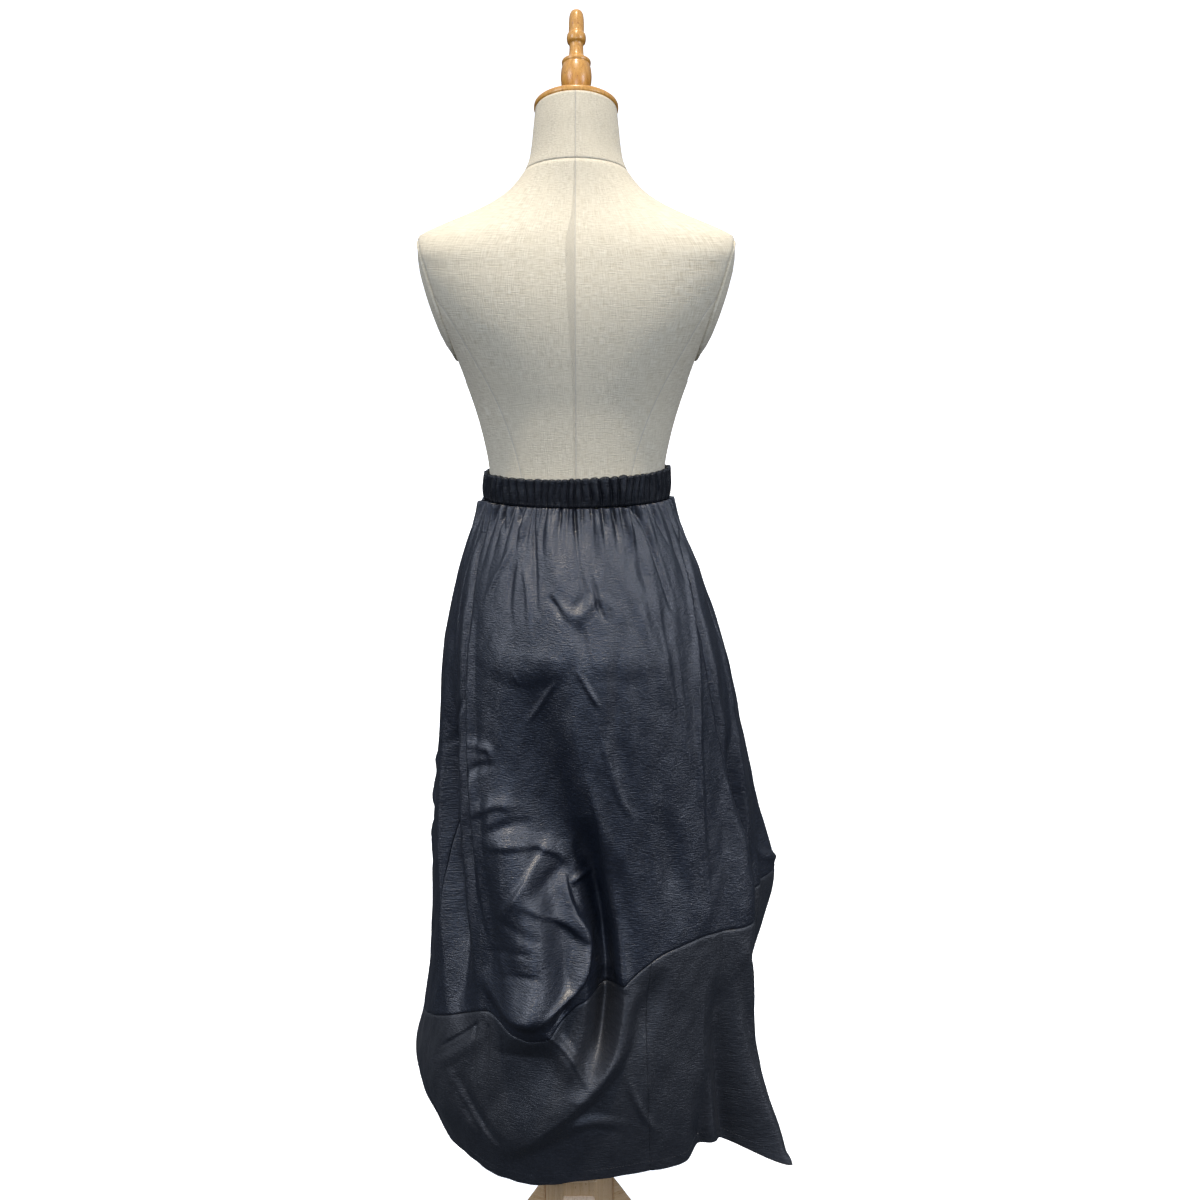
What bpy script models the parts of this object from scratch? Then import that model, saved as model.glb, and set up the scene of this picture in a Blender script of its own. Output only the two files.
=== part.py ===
"""Dark satin maxi skirt with a gathered elastic waistband and a balloon hem band, standing on a linen dress form
with a turned wooden neck cap and a wooden tripod. Metres, +Z up. The back of the form and of the skirt faces -Y.

Angles go round the form in degrees: 0 is the middle of the back, 90 is +X, 180 is the middle of the front.
A drop is a height counted from the waist line, so what hangs below the waist has a negative drop."""

import math
from collections import namedtuple

import bmesh
import bpy
import numpy as np
from mathutils import Matrix, Vector

# Where the form stands: its axis lies off the middle, because the skirt flares further to +X
AXIS_X = -0.0092
AXIS_Y = 0.0420
WAIST_Z = 1.150
SEAM_GAP = 0.0003

# Colours of the finished surfaces
SATIN_COLOUR = (0.020, 0.022, 0.030, 1.0)
LINEN_COLOUR = (0.640, 0.590, 0.480, 1.0)
WOOD_COLOUR = (0.620, 0.350, 0.130, 1.0)

# The cloth
CLOTH_THICK = 0.0020
BAND_THICK = 0.0030
BAND_TOP = 0.0125
BAND_TOP_TILT = 0.0034
BAND_FOOT = -0.0205
BAND_FOOT_TILT = 0.0008
BAND_CLEAR = 0.0006
BAND_GATHERS = 48
BAND_GATHER_DEPTH = 0.0038
SKIRT_GATHERS = 24
SKIRT_GATHER_DEPTH = 0.0064
GATHER_RUN = 0.150
COLUMNS = 96
ARC_PER_DEGREE = 0.0031

Section = namedtuple("Section", "drop left right back front")
SKIRT_SECTIONS = (
    Section(-0.020, 0.1145, 0.1150, 0.0885, 0.0915),
    Section(-0.034, 0.1190, 0.1195, 0.0960, 0.0960),
    Section(-0.050, 0.1250, 0.1255, 0.1040, 0.1000),
    Section(-0.070, 0.1325, 0.1335, 0.1125, 0.1050),
    Section(-0.100, 0.1430, 0.1465, 0.1220, 0.1120),
    Section(-0.150, 0.1555, 0.1640, 0.1370, 0.1240),
    Section(-0.205, 0.1645, 0.1815, 0.1490, 0.1340),
    Section(-0.267, 0.1705, 0.1950, 0.1530, 0.1440),
    Section(-0.330, 0.1755, 0.2075, 0.1530, 0.1520),
    Section(-0.400, 0.1815, 0.2190, 0.1530, 0.1600),
    Section(-0.460, 0.1850, 0.2280, 0.1550, 0.1660),
    Section(-0.520, 0.1870, 0.2350, 0.1600, 0.1730),
    Section(-0.580, 0.1895, 0.2320, 0.1650, 0.1790),
    Section(-0.640, 0.1940, 0.2235, 0.1680, 0.1840),
    Section(-0.690, 0.2025, 0.2220, 0.1700, 0.1870),
    Section(-0.744, 0.2110, 0.2275, 0.1690, 0.1860),
    Section(-0.785, 0.2070, 0.2320, 0.1660, 0.1800),
    Section(-0.835, 0.1860, 0.2360, 0.1590, 0.1680),
    Section(-0.900, 0.1600, 0.2380, 0.1500, 0.1560),
)

# A fold runs down its stations and rises by their depth, or sinks where that is negative.
# Left and right are the half-widths of its two flanks, seen with the back of the skirt towards the eye.
Station = namedtuple("Station", "angle drop depth")
Fold = namedtuple("Fold", "name left right stations")
FOLDS = (
    Fold("left side valley", 0.034, 0.020, (
        Station(-76, -0.090, 0.000),
        Station(-66, -0.160, -0.006),
        Station(-58, -0.250, -0.013),
        Station(-54, -0.350, -0.019),
        Station(-49, -0.440, -0.023),
        Station(-44, -0.530, -0.020),
        Station(-39, -0.630, -0.009),
        Station(-38, -0.680, 0.000),
    )),
    Fold("hip hollow", 0.060, 0.052, (
        Station(-14, -0.230, 0.000),
        Station(-15, -0.300, -0.012),
        Station(-10, -0.370, -0.018),
        Station(1, -0.440, -0.016),
        Station(8, -0.520, 0.000),
    )),
    Fold("drape roll", 0.056, 0.034, (
        Station(-46, -0.290, 0.000),
        Station(-34, -0.380, 0.013),
        Station(-24, -0.450, 0.023),
        Station(-15, -0.520, 0.030),
        Station(-10, -0.590, 0.030),
        Station(-12, -0.640, 0.020),
        Station(-13, -0.675, 0.000),
    )),
    Fold("deep valley", 0.030, 0.022, (
        Station(2, -0.370, 0.000),
        Station(6, -0.450, -0.020),
        Station(9, -0.530, -0.034),
        Station(10, -0.600, -0.036),
        Station(8, -0.660, -0.022),
        Station(3, -0.715, 0.000),
    )),
    Fold("tongue under the roll", 0.022, 0.018, (
        Station(-14, -0.625, 0.000),
        Station(-6, -0.665, 0.010),
        Station(1, -0.715, 0.000),
    )),
    Fold("bowl crest", 0.060, 0.024, (
        Station(18, -0.590, 0.000),
        Station(14, -0.655, 0.010),
        Station(7, -0.700, 0.016),
        Station(-3, -0.745, 0.017),
        Station(-16, -0.790, 0.012),
        Station(-32, -0.830, 0.000),
    )),
    Fold("right front ridge", 0.040, 0.024, (
        Station(84, -0.050, 0.000),
        Station(72, -0.140, 0.004),
        Station(68, -0.230, 0.007),
        Station(68, -0.330, 0.009),
        Station(65, -0.430, 0.012),
        Station(62, -0.545, 0.014),
        Station(63, -0.640, 0.019),
        Station(65, -0.740, 0.032),
        Station(67, -0.830, 0.056),
        Station(67, -0.900, 0.076),
    )),
    Fold("right slit", 0.016, 0.018, (
        Station(62, -0.110, 0.000),
        Station(60, -0.180, -0.006),
        Station(59, -0.240, -0.006),
        Station(60, -0.300, 0.000),
    )),
    Fold("right side valley", 0.024, 0.030, (
        Station(84, -0.330, 0.000),
        Station(84, -0.430, -0.010),
        Station(82, -0.540, -0.018),
        Station(83, -0.640, -0.020),
        Station(88, -0.740, -0.014),
        Station(90, -0.840, 0.000),
    )),
    Fold("right side bulge", 0.040, 0.060, (
        Station(102, -0.200, 0.000),
        Station(104, -0.320, 0.008),
        Station(106, -0.430, 0.020),
        Station(106, -0.520, 0.034),
        Station(105, -0.600, 0.019),
        Station(104, -0.680, 0.000),
    )),
    Fold("right panel dimple", 0.020, 0.020, (
        Station(29, -0.370, 0.000),
        Station(31, -0.450, -0.006),
        Station(33, -0.530, 0.000),
    )),
    Fold("flare trough", 0.024, 0.024, (
        Station(50, -0.600, 0.000),
        Station(53, -0.700, -0.010),
        Station(54, -0.800, -0.014),
        Station(54, -0.890, -0.010),
    )),
    Fold("flare shadow", 0.022, 0.022, (
        Station(26, -0.570, 0.000),
        Station(21, -0.630, -0.009),
        Station(16, -0.690, 0.000),
    )),
    Fold("hem crease", 0.020, 0.014, (
        Station(46, -0.720, 0.000),
        Station(43, -0.790, -0.010),
        Station(41, -0.870, -0.014),
    )),
    Fold("lower left crease", 0.018, 0.020, (
        Station(-46, -0.710, 0.000),
        Station(-40, -0.765, -0.006),
        Station(-30, -0.810, 0.000),
    )),
    Fold("front hollow", 0.060, 0.060, (
        Station(170, -0.230, 0.000),
        Station(172, -0.340, -0.014),
        Station(182, -0.430, -0.018),
        Station(190, -0.520, 0.000),
    )),
    Fold("front roll", 0.050, 0.032, (
        Station(152, -0.330, 0.000),
        Station(160, -0.430, 0.014),
        Station(168, -0.520, 0.024),
        Station(172, -0.600, 0.022),
        Station(172, -0.670, 0.000),
    )),
    Fold("front valley", 0.028, 0.022, (
        Station(182, -0.420, 0.000),
        Station(186, -0.510, -0.020),
        Station(188, -0.600, -0.026),
        Station(186, -0.680, 0.000),
    )),
    Fold("front bowl crest", 0.036, 0.026, (
        Station(196, -0.640, 0.000),
        Station(188, -0.710, 0.012),
        Station(176, -0.770, 0.011),
        Station(162, -0.830, 0.000),
    )),
    Fold("front right ridge", 0.044, 0.034, (
        Station(138, -0.160, 0.000),
        Station(136, -0.320, 0.008),
        Station(134, -0.500, 0.012),
        Station(132, -0.700, 0.016),
        Station(130, -0.890, 0.022),
    )),
    Fold("front left valley", 0.036, 0.030, (
        Station(232, -0.120, 0.000),
        Station(230, -0.280, -0.010),
        Station(226, -0.440, -0.015),
        Station(222, -0.600, -0.008),
        Station(220, -0.700, 0.000),
    )),
    Fold("front left ridge", 0.040, 0.040, (
        Station(248, -0.600, 0.000),
        Station(246, -0.720, 0.010),
        Station(244, -0.880, 0.016),
    )),
)

Level = namedtuple("Level", "angle drop")
# The seam that joins the upper panels to the hem band, and the hem itself, all the way round
BAND_SEAM = (
    Level(-90, -0.690),
    Level(-70, -0.676),
    Level(-48, -0.650),
    Level(-34, -0.634),
    Level(-22, -0.648),
    Level(-11, -0.650),
    Level(0, -0.612),
    Level(12, -0.596),
    Level(24, -0.560),
    Level(38, -0.545),
    Level(62, -0.542),
    Level(85, -0.528),
    Level(106, -0.522),
    Level(140, -0.560),
    Level(180, -0.610),
    Level(225, -0.660),
)
HEM = (
    Level(-90, -0.852),
    Level(-54, -0.848),
    Level(-38, -0.860),
    Level(-18, -0.862),
    Level(0, -0.852),
    Level(20, -0.844),
    Level(34, -0.842),
    Level(44, -0.826),
    Level(56, -0.838),
    Level(67, -0.866),
    Level(80, -0.850),
    Level(110, -0.838),
    Level(150, -0.846),
    Level(200, -0.856),
    Level(240, -0.848),
)

# Panels lie between these columns of the mesh: the side seams, and the seam in the back of the hem band
LEFT_SEAM = -18
RIGHT_SEAM = 21
BACK_BAND_SEAM = 6
UPPER_ROWS = (0.0, 0.03, 0.07, 0.13, 0.21, 0.31, 0.41, 0.51, 0.60, 0.69, 0.77, 0.85, 0.93, 1.0)
LOWER_ROWS = (0.0, 0.15, 0.30, 0.45, 0.62, 0.80, 1.0)

# The dress form. Exponents above 2 square a section off, as at the shoulders
FormSection = namedtuple("FormSection", "drop half back front exponent shift tilt")
TORSO_SECTIONS = (
    FormSection(-0.270, 0.1480, 0.1060, 0.0900, 2.0, 0.000, 0),
    FormSection(-0.240, 0.1530, 0.1140, 0.0930, 2.0, 0.000, 0),
    FormSection(-0.200, 0.1550, 0.1190, 0.0950, 2.0, 0.000, 0),
    FormSection(-0.150, 0.1460, 0.1120, 0.0960, 2.0, 0.000, 0),
    FormSection(-0.100, 0.1310, 0.0980, 0.0930, 2.0, 0.000, 0),
    FormSection(-0.070, 0.1200, 0.0880, 0.0900, 2.0, 0.000, 0),
    FormSection(-0.040, 0.1095, 0.0820, 0.0860, 2.0, 0.000, 0),
    FormSection(-0.020, 0.1065, 0.0800, 0.0840, 2.0, 0.000, 0),
    FormSection(0.013, 0.1065, 0.0800, 0.0840, 2.0, 0.000, 0),
    FormSection(0.056, 0.1140, 0.0830, 0.0880, 2.0, 0.000, 0),
    FormSection(0.094, 0.1245, 0.0880, 0.0950, 2.0, 0.000, 0),
    FormSection(0.130, 0.1375, 0.0950, 0.1040, 2.1, 0.000, 0),
    FormSection(0.165, 0.1540, 0.1010, 0.1120, 2.2, 0.000, 0),
    FormSection(0.195, 0.1690, 0.1040, 0.1150, 2.3, 0.000, 0),
    FormSection(0.225, 0.1810, 0.1040, 0.1120, 2.4, 0.000, 1),
    FormSection(0.252, 0.1890, 0.1000, 0.1020, 2.5, 0.000, 2),
    FormSection(0.276, 0.1925, 0.0930, 0.0880, 2.5, 0.000, 4),
    FormSection(0.290, 0.1850, 0.0860, 0.0760, 2.3, 0.000, 6),
    FormSection(0.301, 0.1620, 0.0790, 0.0670, 2.1, 0.000, 8),
    FormSection(0.312, 0.1340, 0.0730, 0.0610, 2.0, 0.001, 10),
    FormSection(0.323, 0.1080, 0.0680, 0.0580, 2.0, 0.002, 12),
    FormSection(0.335, 0.0870, 0.0640, 0.0570, 2.0, 0.003, 14),
    FormSection(0.348, 0.0725, 0.0610, 0.0560, 2.0, 0.004, 15),
    FormSection(0.362, 0.0615, 0.0580, 0.0550, 2.0, 0.005, 16),
)
NECK_SECTIONS = (
    FormSection(0.3624, 0.0612, 0.0577, 0.0547, 2.0, 0.005, 16),
    FormSection(0.374, 0.0560, 0.0550, 0.0540, 2.0, 0.006, 18),
    FormSection(0.392, 0.0525, 0.0530, 0.0530, 2.0, 0.009, 20),
    FormSection(0.412, 0.0503, 0.0515, 0.0520, 2.0, 0.012, 22),
    FormSection(0.434, 0.0480, 0.0495, 0.0500, 2.0, 0.016, 24),
)
FORM_COLUMNS = 44
BUST_HEIGHT = 0.205
BUST_SIDE = 0.070
BUST_RISE = 0.024
BUST_REACH = 0.110
PLATE_TOP = (0.1880, 0.286)
PLATE_FOOT = (0.1430, 0.144)
PLATE_THICK = 0.0035
PLATE_DOME = 0.0090
PLATE_DEPTH = 0.050
PLATE_COLUMNS = 24

# Turned wood: distance along the axis and radius, in millimetres
CAP_PROFILE = ((0, 48.0), (1.5, 49.5), (6.0, 49.5), (8.0, 47.5), (9.0, 38.0), (9.5, 18.0))
FINIAL_PROFILE = (
    (0, 14.5), (3.5, 15.5), (6, 13.5), (8, 11.6), (10.5, 12.4), (16, 15.2), (24, 17.4), (33, 18.2), (42, 17.6),
    (48, 16.4), (50, 17.0), (53.5, 16.8), (56, 13.0), (59, 9.6), (66, 8.4), (75, 8.4), (78, 10.6), (83, 11.4),
    (88, 10.8), (91, 9.2), (104, 9.0), (113, 8.2), (118, 6.2), (120, 3.0),
)
TURNED_COLUMNS = 20

# The stand
BASE_PLATE_THICK = 0.012
BASE_PLATE_SHARE = 0.94
POLE_RADIUS = 0.0150
HUB_HALF = 0.0400
HUB_SIDES = 6
HUB_TOP = 0.2280
HUB_FOOT = 0.0950
HUB_ROUND = 0.0050
LEG_ANGLES = (0, 120, 240)
LEG_THICK = 0.0440
LEG_REACH = 0.2850
LEG_TOP = 0.2080
LEG_UNDER = 0.1050
FOOT_LENGTH = 0.0420
FOOT_HEIGHT = 0.0180
LEG_ROUND = 0.0030


def clear_scene():
    for obj in list(bpy.data.objects):
        bpy.data.objects.remove(obj)


def material(name, colour, roughness):
    made = bpy.data.materials.new(name)
    made.use_nodes = True
    made.diffuse_color = colour
    shader = made.node_tree.nodes["Principled BSDF"]
    shader.inputs["Base Color"].default_value = colour
    shader.inputs["Roughness"].default_value = roughness
    shader.inputs["Metallic"].default_value = 0.0
    return made


def add_object(name, points, faces, finish, smooth=True):
    mesh = bpy.data.meshes.new(name)
    mesh.from_pydata([tuple(p) for p in points], [], faces)
    mesh.materials.append(finish)
    if smooth:
        mesh.shade_smooth()
        mesh.set_sharp_from_angle(angle=math.radians(50))
    obj = bpy.data.objects.new(name, mesh)
    bpy.context.scene.collection.objects.link(obj)
    return obj


def smooth_through(x, xs, ys):
    """A curve through the points (xs, ys), read at x. Its slope at each point is that of its two neighbours."""
    slopes = np.gradient(ys, xs)
    i = np.clip(np.searchsorted(xs, x, side="right") - 1, 0, len(xs) - 2)
    step = xs[i + 1] - xs[i]
    t = np.clip((x - xs[i]) / step, 0.0, 1.0)
    return (
        ys[i] * (1 + 2 * t) * (1 - t) ** 2
        + ys[i + 1] * t * t * (3 - 2 * t)
        + slopes[i] * step * t * (1 - t) ** 2
        - slopes[i + 1] * step * t * t * (1 - t)
    )


def column_of(rows, field):
    return np.array([getattr(row, field) for row in rows], float)


def read_sections(rows, drop, fields):
    """Each named size of the sections, at every drop."""
    order = np.argsort(column_of(rows, "drop"))
    drops = column_of(rows, "drop")[order]
    return [smooth_through(drop, drops, column_of(rows, field)[order]) for field in fields]


def level_at(levels, angle):
    """The drop of a line that runs all the way round, at each angle."""
    angles = column_of(levels, "angle")
    drops = column_of(levels, "drop")
    angles = np.concatenate([angles[-3:] - 360, angles, angles[:3] + 360])
    drops = np.concatenate([drops[-3:], drops, drops[:3]])
    wrapped = (np.asarray(angle, float) + 90.0) % 360.0 - 90.0
    return smooth_through(wrapped, angles, drops)


def fold_height(fold, angle, drop):
    """How far one fold lifts the cloth at each point: a rounded ridge or trough along its smoothed stations."""
    angles = column_of(fold.stations, "angle")
    middle = angles.mean()
    across = (middle + (angle - middle + 180.0) % 360.0 - 180.0) * ARC_PER_DEGREE
    knots = np.arange(len(angles), dtype=float)
    fine = np.linspace(0, len(angles) - 1, 4 * (len(angles) - 1) + 1)
    line_across = smooth_through(fine, knots, angles * ARC_PER_DEGREE)
    line_drop = smooth_through(fine, knots, column_of(fold.stations, "drop"))
    line_depth = smooth_through(fine, knots, column_of(fold.stations, "depth"))
    nearest = np.full(np.shape(drop), np.inf)
    height = np.zeros(np.shape(drop))
    for k in range(len(fine) - 1):
        run_across = line_across[k + 1] - line_across[k]
        run_drop = line_drop[k + 1] - line_drop[k]
        off_across = across - line_across[k]
        off_drop = drop - line_drop[k]
        t = (off_across * run_across + off_drop * run_drop) / (run_across**2 + run_drop**2)
        t = np.clip(t, 0.0, 1.0)
        distance = np.hypot(off_across - t * run_across, off_drop - t * run_drop)
        on_right = run_across * off_drop - run_drop * off_across > 0
        width = np.where(on_right, fold.right, fold.left)
        depth = line_depth[k] + t * (line_depth[k + 1] - line_depth[k])
        rise = depth * np.clip(1.0 - (distance / width) ** 2, 0.0, None) ** 2
        height = np.where(distance < nearest, rise, height)
        nearest = np.minimum(distance, nearest)
    return height


def gather_height(angle, drop):
    """The gathers under the waistband, each of its own depth and length."""
    turn = np.radians(angle)
    strength = 0.72 + 0.28 * np.sin(5 * turn + 0.6) * np.cos(3 * turn)
    run = GATHER_RUN * (0.75 + 0.35 * np.sin(7 * turn + 1.1))
    below = (BAND_FOOT - drop) / run
    fade = np.clip(1.0 - below, 0.0, 1.0) ** 1.5 * np.clip(0.55 + 9.0 * below, 0.55, 1.0)
    return SKIRT_GATHER_DEPTH * strength * fade * np.cos(SKIRT_GATHERS * turn)


def around(angle, right, left, back, front):
    """(x, y) and the outward direction of an oval whose four half-widths differ."""
    turn = np.radians(angle)
    side = np.where(np.sin(turn) > 0, right, left)
    depth = np.where(np.cos(turn) > 0, back, front)
    x, y = side * np.sin(turn), -depth * np.cos(turn)
    out_x, out_y = np.sin(turn) / side, -np.cos(turn) / depth
    length = np.hypot(out_x, out_y)
    return x, y, out_x / length, out_y / length


def skirt_point(angle, drop):
    """The skirt's outer face at an angle and a drop, as points in the object's frame."""
    left, right, back, front = read_sections(SKIRT_SECTIONS, drop, ("left", "right", "back", "front"))
    x, y, out_x, out_y = around(angle, right, left, back, front)
    lift = gather_height(angle, drop)
    for fold in FOLDS:
        lift = lift + fold_height(fold, angle, drop)
    return np.stack([AXIS_X + x + lift * out_x, AXIS_Y + y + lift * out_y, WAIST_Z + drop], axis=-1)


def outward(point_at, angle, drop):
    """The unit normal of a surface, from its two neighbours each way."""
    turn, fall = 0.4, 0.0015
    along = point_at(angle + turn, drop) - point_at(angle - turn, drop)
    down = point_at(angle, drop - fall) - point_at(angle, drop + fall)
    normal = np.cross(down, along)
    return normal / np.linalg.norm(normal, axis=-1, keepdims=True)


def wall_faces(rows, columns, closed):
    """Faces of a wall whose outer points come first and inner points after, row by row."""
    count = rows * columns
    last = columns if closed else columns - 1
    faces = []
    for r in range(rows - 1):
        for c in range(last):
            d = (c + 1) % columns
            a, b, e, f = r * columns + c, r * columns + d, (r + 1) * columns + d, (r + 1) * columns + c
            faces.append((a, f, e, b))
            faces.append((count + a, count + b, count + e, count + f))
    foot = (rows - 1) * columns
    for c in range(last):
        d = (c + 1) % columns
        faces.append((c, d, count + d, count + c))
        faces.append((foot + c, count + foot + c, count + foot + d, foot + d))
    if not closed:
        end = columns - 1
        for r in range(rows - 1):
            a, b = r * columns, (r + 1) * columns
            faces.append((a, count + a, count + b, b))
            faces.append((a + end, b + end, count + b + end, count + a + end))
    return faces


def cloth_panel(name, first, last, top, foot, shares, finish):
    """A panel of the skirt from one mesh column to another, between two levels that go round."""
    angles = np.arange(first, last + 1) * 360.0 / COLUMNS
    half_gap = math.degrees(SEAM_GAP / 2 / SKIRT_SECTIONS[0].back)
    angles[0] += half_gap
    angles[-1] -= half_gap
    shares = np.array(shares)[:, None]
    drops = top(angles)[None, :] * (1 - shares) + foot(angles)[None, :] * shares
    grid = np.broadcast_to(angles, drops.shape)
    outer = skirt_point(grid, drops)
    inner = outer - CLOTH_THICK * outward(skirt_point, grid, drops)
    # The inner edges stay level with the outer ones, so that neighbouring panels don't meet
    inner[0, :, 2] = outer[0, :, 2]
    inner[-1, :, 2] = outer[-1, :, 2]
    points = np.concatenate([outer.reshape(-1, 3), inner.reshape(-1, 3)])
    return add_object(name, points, wall_faces(len(shares), len(angles), False), finish)


def band_foot(angle):
    return BAND_FOOT + BAND_FOOT_TILT * np.sin(np.radians(angle))


def skirt_top(angle):
    return band_foot(angle) - SEAM_GAP


def band_seam_upper(angle):
    return level_at(BAND_SEAM, angle)


def band_seam_lower(angle):
    return level_at(BAND_SEAM, angle) - SEAM_GAP


def hem(angle):
    return level_at(HEM, angle)


def waistband(finish):
    """The elastic casing: a ring that follows the form's waist, gathered into small upright folds."""
    columns = 4 * BAND_GATHERS
    even = 2 * np.pi * np.arange(columns) / columns
    # Some gathers are crowded and others drawn out
    turn = even + 0.035 * np.sin(5 * even + 1.0) + 0.020 * np.sin(11 * even)
    angles = np.degrees(turn)
    strength = 0.38 + 0.12 * np.sin(9 * turn + 0.4) * np.cos(4 * turn)
    ripple = BAND_GATHER_DEPTH * strength * (1 + np.cos(BAND_GATHERS * even))
    outer, inner = [], []
    for share, swell in ((0.0, 0.8), (0.5, 1.15), (1.0, 0.9)):
        drops = (BAND_TOP + BAND_TOP_TILT * np.sin(turn)) * (1 - share) + band_foot(angles) * share
        half, back, front = read_sections(TORSO_SECTIONS, drops, ("half", "back", "front"))
        x, y, out_x, out_y = around(angles, half, half, back, front)
        away = BAND_CLEAR + swell * ripple
        for face, extra in ((inner, 0.0), (outer, BAND_THICK)):
            lift = away + extra
            face.append(np.stack([AXIS_X + x + lift * out_x, AXIS_Y + y + lift * out_y, WAIST_Z + drops], -1))
    points = np.concatenate([np.concatenate(outer), np.concatenate(inner)])
    return add_object("waistband", points, wall_faces(3, columns, True), finish)


def skirt(finish):
    waistband(finish)
    whole = RIGHT_SEAM, LEFT_SEAM + COLUMNS
    cloth_panel("back_panel", LEFT_SEAM, RIGHT_SEAM, skirt_top, band_seam_upper, UPPER_ROWS, finish)
    cloth_panel("front_panel", *whole, skirt_top, band_seam_upper, UPPER_ROWS, finish)
    cloth_panel("hem_band_back_left", LEFT_SEAM, BACK_BAND_SEAM, band_seam_lower, hem, LOWER_ROWS, finish)
    cloth_panel("hem_band_back_right", BACK_BAND_SEAM, RIGHT_SEAM, band_seam_lower, hem, LOWER_ROWS, finish)
    cloth_panel("hem_band_front", *whole, band_seam_lower, hem, LOWER_ROWS, finish)


def plate_limit(drop):
    """How far out the torso may reach behind an armhole plate, at each drop."""
    (top_x, top_drop), (foot_x, foot_drop) = PLATE_TOP, PLATE_FOOT
    slope = (top_x - foot_x) / (top_drop - foot_drop)
    return foot_x + slope * (drop - foot_drop) - PLATE_THICK - SEAM_GAP


def form_ring(section, columns):
    """One section of the form as points, squared by its exponent and leaning forward by its tilt."""
    turn = np.radians(np.arange(columns) * 360.0 / columns)
    power = 2.0 / section.exponent
    x = section.half * np.sign(np.sin(turn)) * np.abs(np.sin(turn)) ** power
    depth = np.where(np.cos(turn) > 0, section.back, section.front)
    y = -depth * np.sign(np.cos(turn)) * np.abs(np.cos(turn)) ** power
    lean = math.radians(section.tilt)
    drop = section.drop - y * math.sin(lean)
    y = section.shift + y * math.cos(lean)
    away = np.hypot(np.abs(x) - BUST_SIDE, drop - BUST_HEIGHT) / BUST_REACH
    y = y + np.where(y > 0, BUST_RISE * np.clip(1 - away**2, 0, None) ** 2, 0)
    inside = (drop > PLATE_FOOT[1] - 0.02) & (drop < PLATE_TOP[1] + 0.01)
    x = np.where(inside, np.clip(x, -plate_limit(drop), plate_limit(drop)), x)
    return np.stack([AXIS_X + x, AXIS_Y + y, WAIST_Z + drop], -1)


def form_body(name, sections, finish):
    rings = [form_ring(section, FORM_COLUMNS) for section in sections]
    points = np.concatenate(rings)
    faces = [tuple(reversed(range(FORM_COLUMNS)))]
    for r in range(len(rings) - 1):
        for c in range(FORM_COLUMNS):
            d = (c + 1) % FORM_COLUMNS
            a, b = r * FORM_COLUMNS, (r + 1) * FORM_COLUMNS
            faces.append((a + c, a + d, b + d, b + c))
    top = (len(rings) - 1) * FORM_COLUMNS
    faces.append(tuple(range(top, top + FORM_COLUMNS)))
    return add_object(name, points, faces, finish)


def armhole_plate(name, side, finish):
    """A flat oval plate that closes one armhole, leaning in towards the waist."""
    (top_x, top_drop), (foot_x, foot_drop) = PLATE_TOP, PLATE_FOOT
    height = math.hypot(top_x - foot_x, top_drop - foot_drop)
    lean = math.atan2(top_x - foot_x, top_drop - foot_drop)
    turn = np.radians(np.arange(PLATE_COLUMNS) * 360.0 / PLATE_COLUMNS)
    mesh = bmesh.new()
    rings = []
    for share, out in ((1.0, -PLATE_THICK), (1.0, -0.3 * PLATE_THICK), (0.9, 0.2 * PLATE_DOME), (0.5, PLATE_DOME)):
        rings.append([
            mesh.verts.new((out, share * PLATE_DEPTH * math.cos(t), share * height / 2 * math.sin(t)))
            for t in turn
        ])
    mesh.faces.new(list(reversed(rings[0])))
    for low, high in zip(rings, rings[1:]):
        for c in range(PLATE_COLUMNS):
            d = (c + 1) % PLATE_COLUMNS
            mesh.faces.new((low[c], low[d], high[d], high[c]))
    mesh.faces.new(rings[-1])
    place = Matrix.Translation((
        AXIS_X + side * (top_x + foot_x) / 2,
        AXIS_Y,
        WAIST_Z + (top_drop + foot_drop) / 2,
    ))
    mesh.transform(Matrix.Rotation(lean, 4, "Y"))
    if side < 0:
        mesh.transform(Matrix.Scale(-1, 4, (1, 0, 0)))
    mesh.transform(place)
    bmesh.ops.recalc_face_normals(mesh, faces=mesh.faces)
    made = bpy.data.meshes.new(name)
    mesh.to_mesh(made)
    mesh.free()
    made.materials.append(finish)
    obj = bpy.data.objects.new(name, made)
    bpy.context.scene.collection.objects.link(obj)
    return obj


def turned(name, profile, finish, columns=TURNED_COLUMNS):
    """A piece turned on a lathe from (distance along +Z, radius) pairs in millimetres, closed at both ends."""
    points = []
    for along, radius in profile:
        for c in range(columns):
            turn = 2 * math.pi * c / columns
            points.append((radius * math.cos(turn) / 1000, radius * math.sin(turn) / 1000, along / 1000))
    faces = [tuple(reversed(range(columns)))]
    for r in range(len(profile) - 1):
        for c in range(columns):
            d = (c + 1) % columns
            a, b = r * columns, (r + 1) * columns
            faces.append((a + c, a + d, b + d, b + c))
    top = (len(profile) - 1) * columns
    faces.append(tuple(range(top, top + columns)))
    return add_object(name, points, faces, finish)


def neck_cap(finish):
    """The wooden disc on the neck and the turned finial on it, both square to the leaning top of the neck."""
    top = NECK_SECTIONS[-1]
    lean = math.radians(top.tilt)
    seat = Vector((AXIS_X, AXIS_Y + top.shift, WAIST_Z + top.drop))
    normal = Vector((0, math.sin(lean), math.cos(lean)))
    for name, profile, rise in (
        ("neck_cap_disc", CAP_PROFILE, SEAM_GAP),
        ("neck_cap_finial", FINIAL_PROFILE, 2 * SEAM_GAP + CAP_PROFILE[-1][0] / 1000),
    ):
        piece = turned(name, profile, finish)
        piece.rotation_euler = (-lean, 0, 0)
        piece.location = seat + rise * normal


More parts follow.
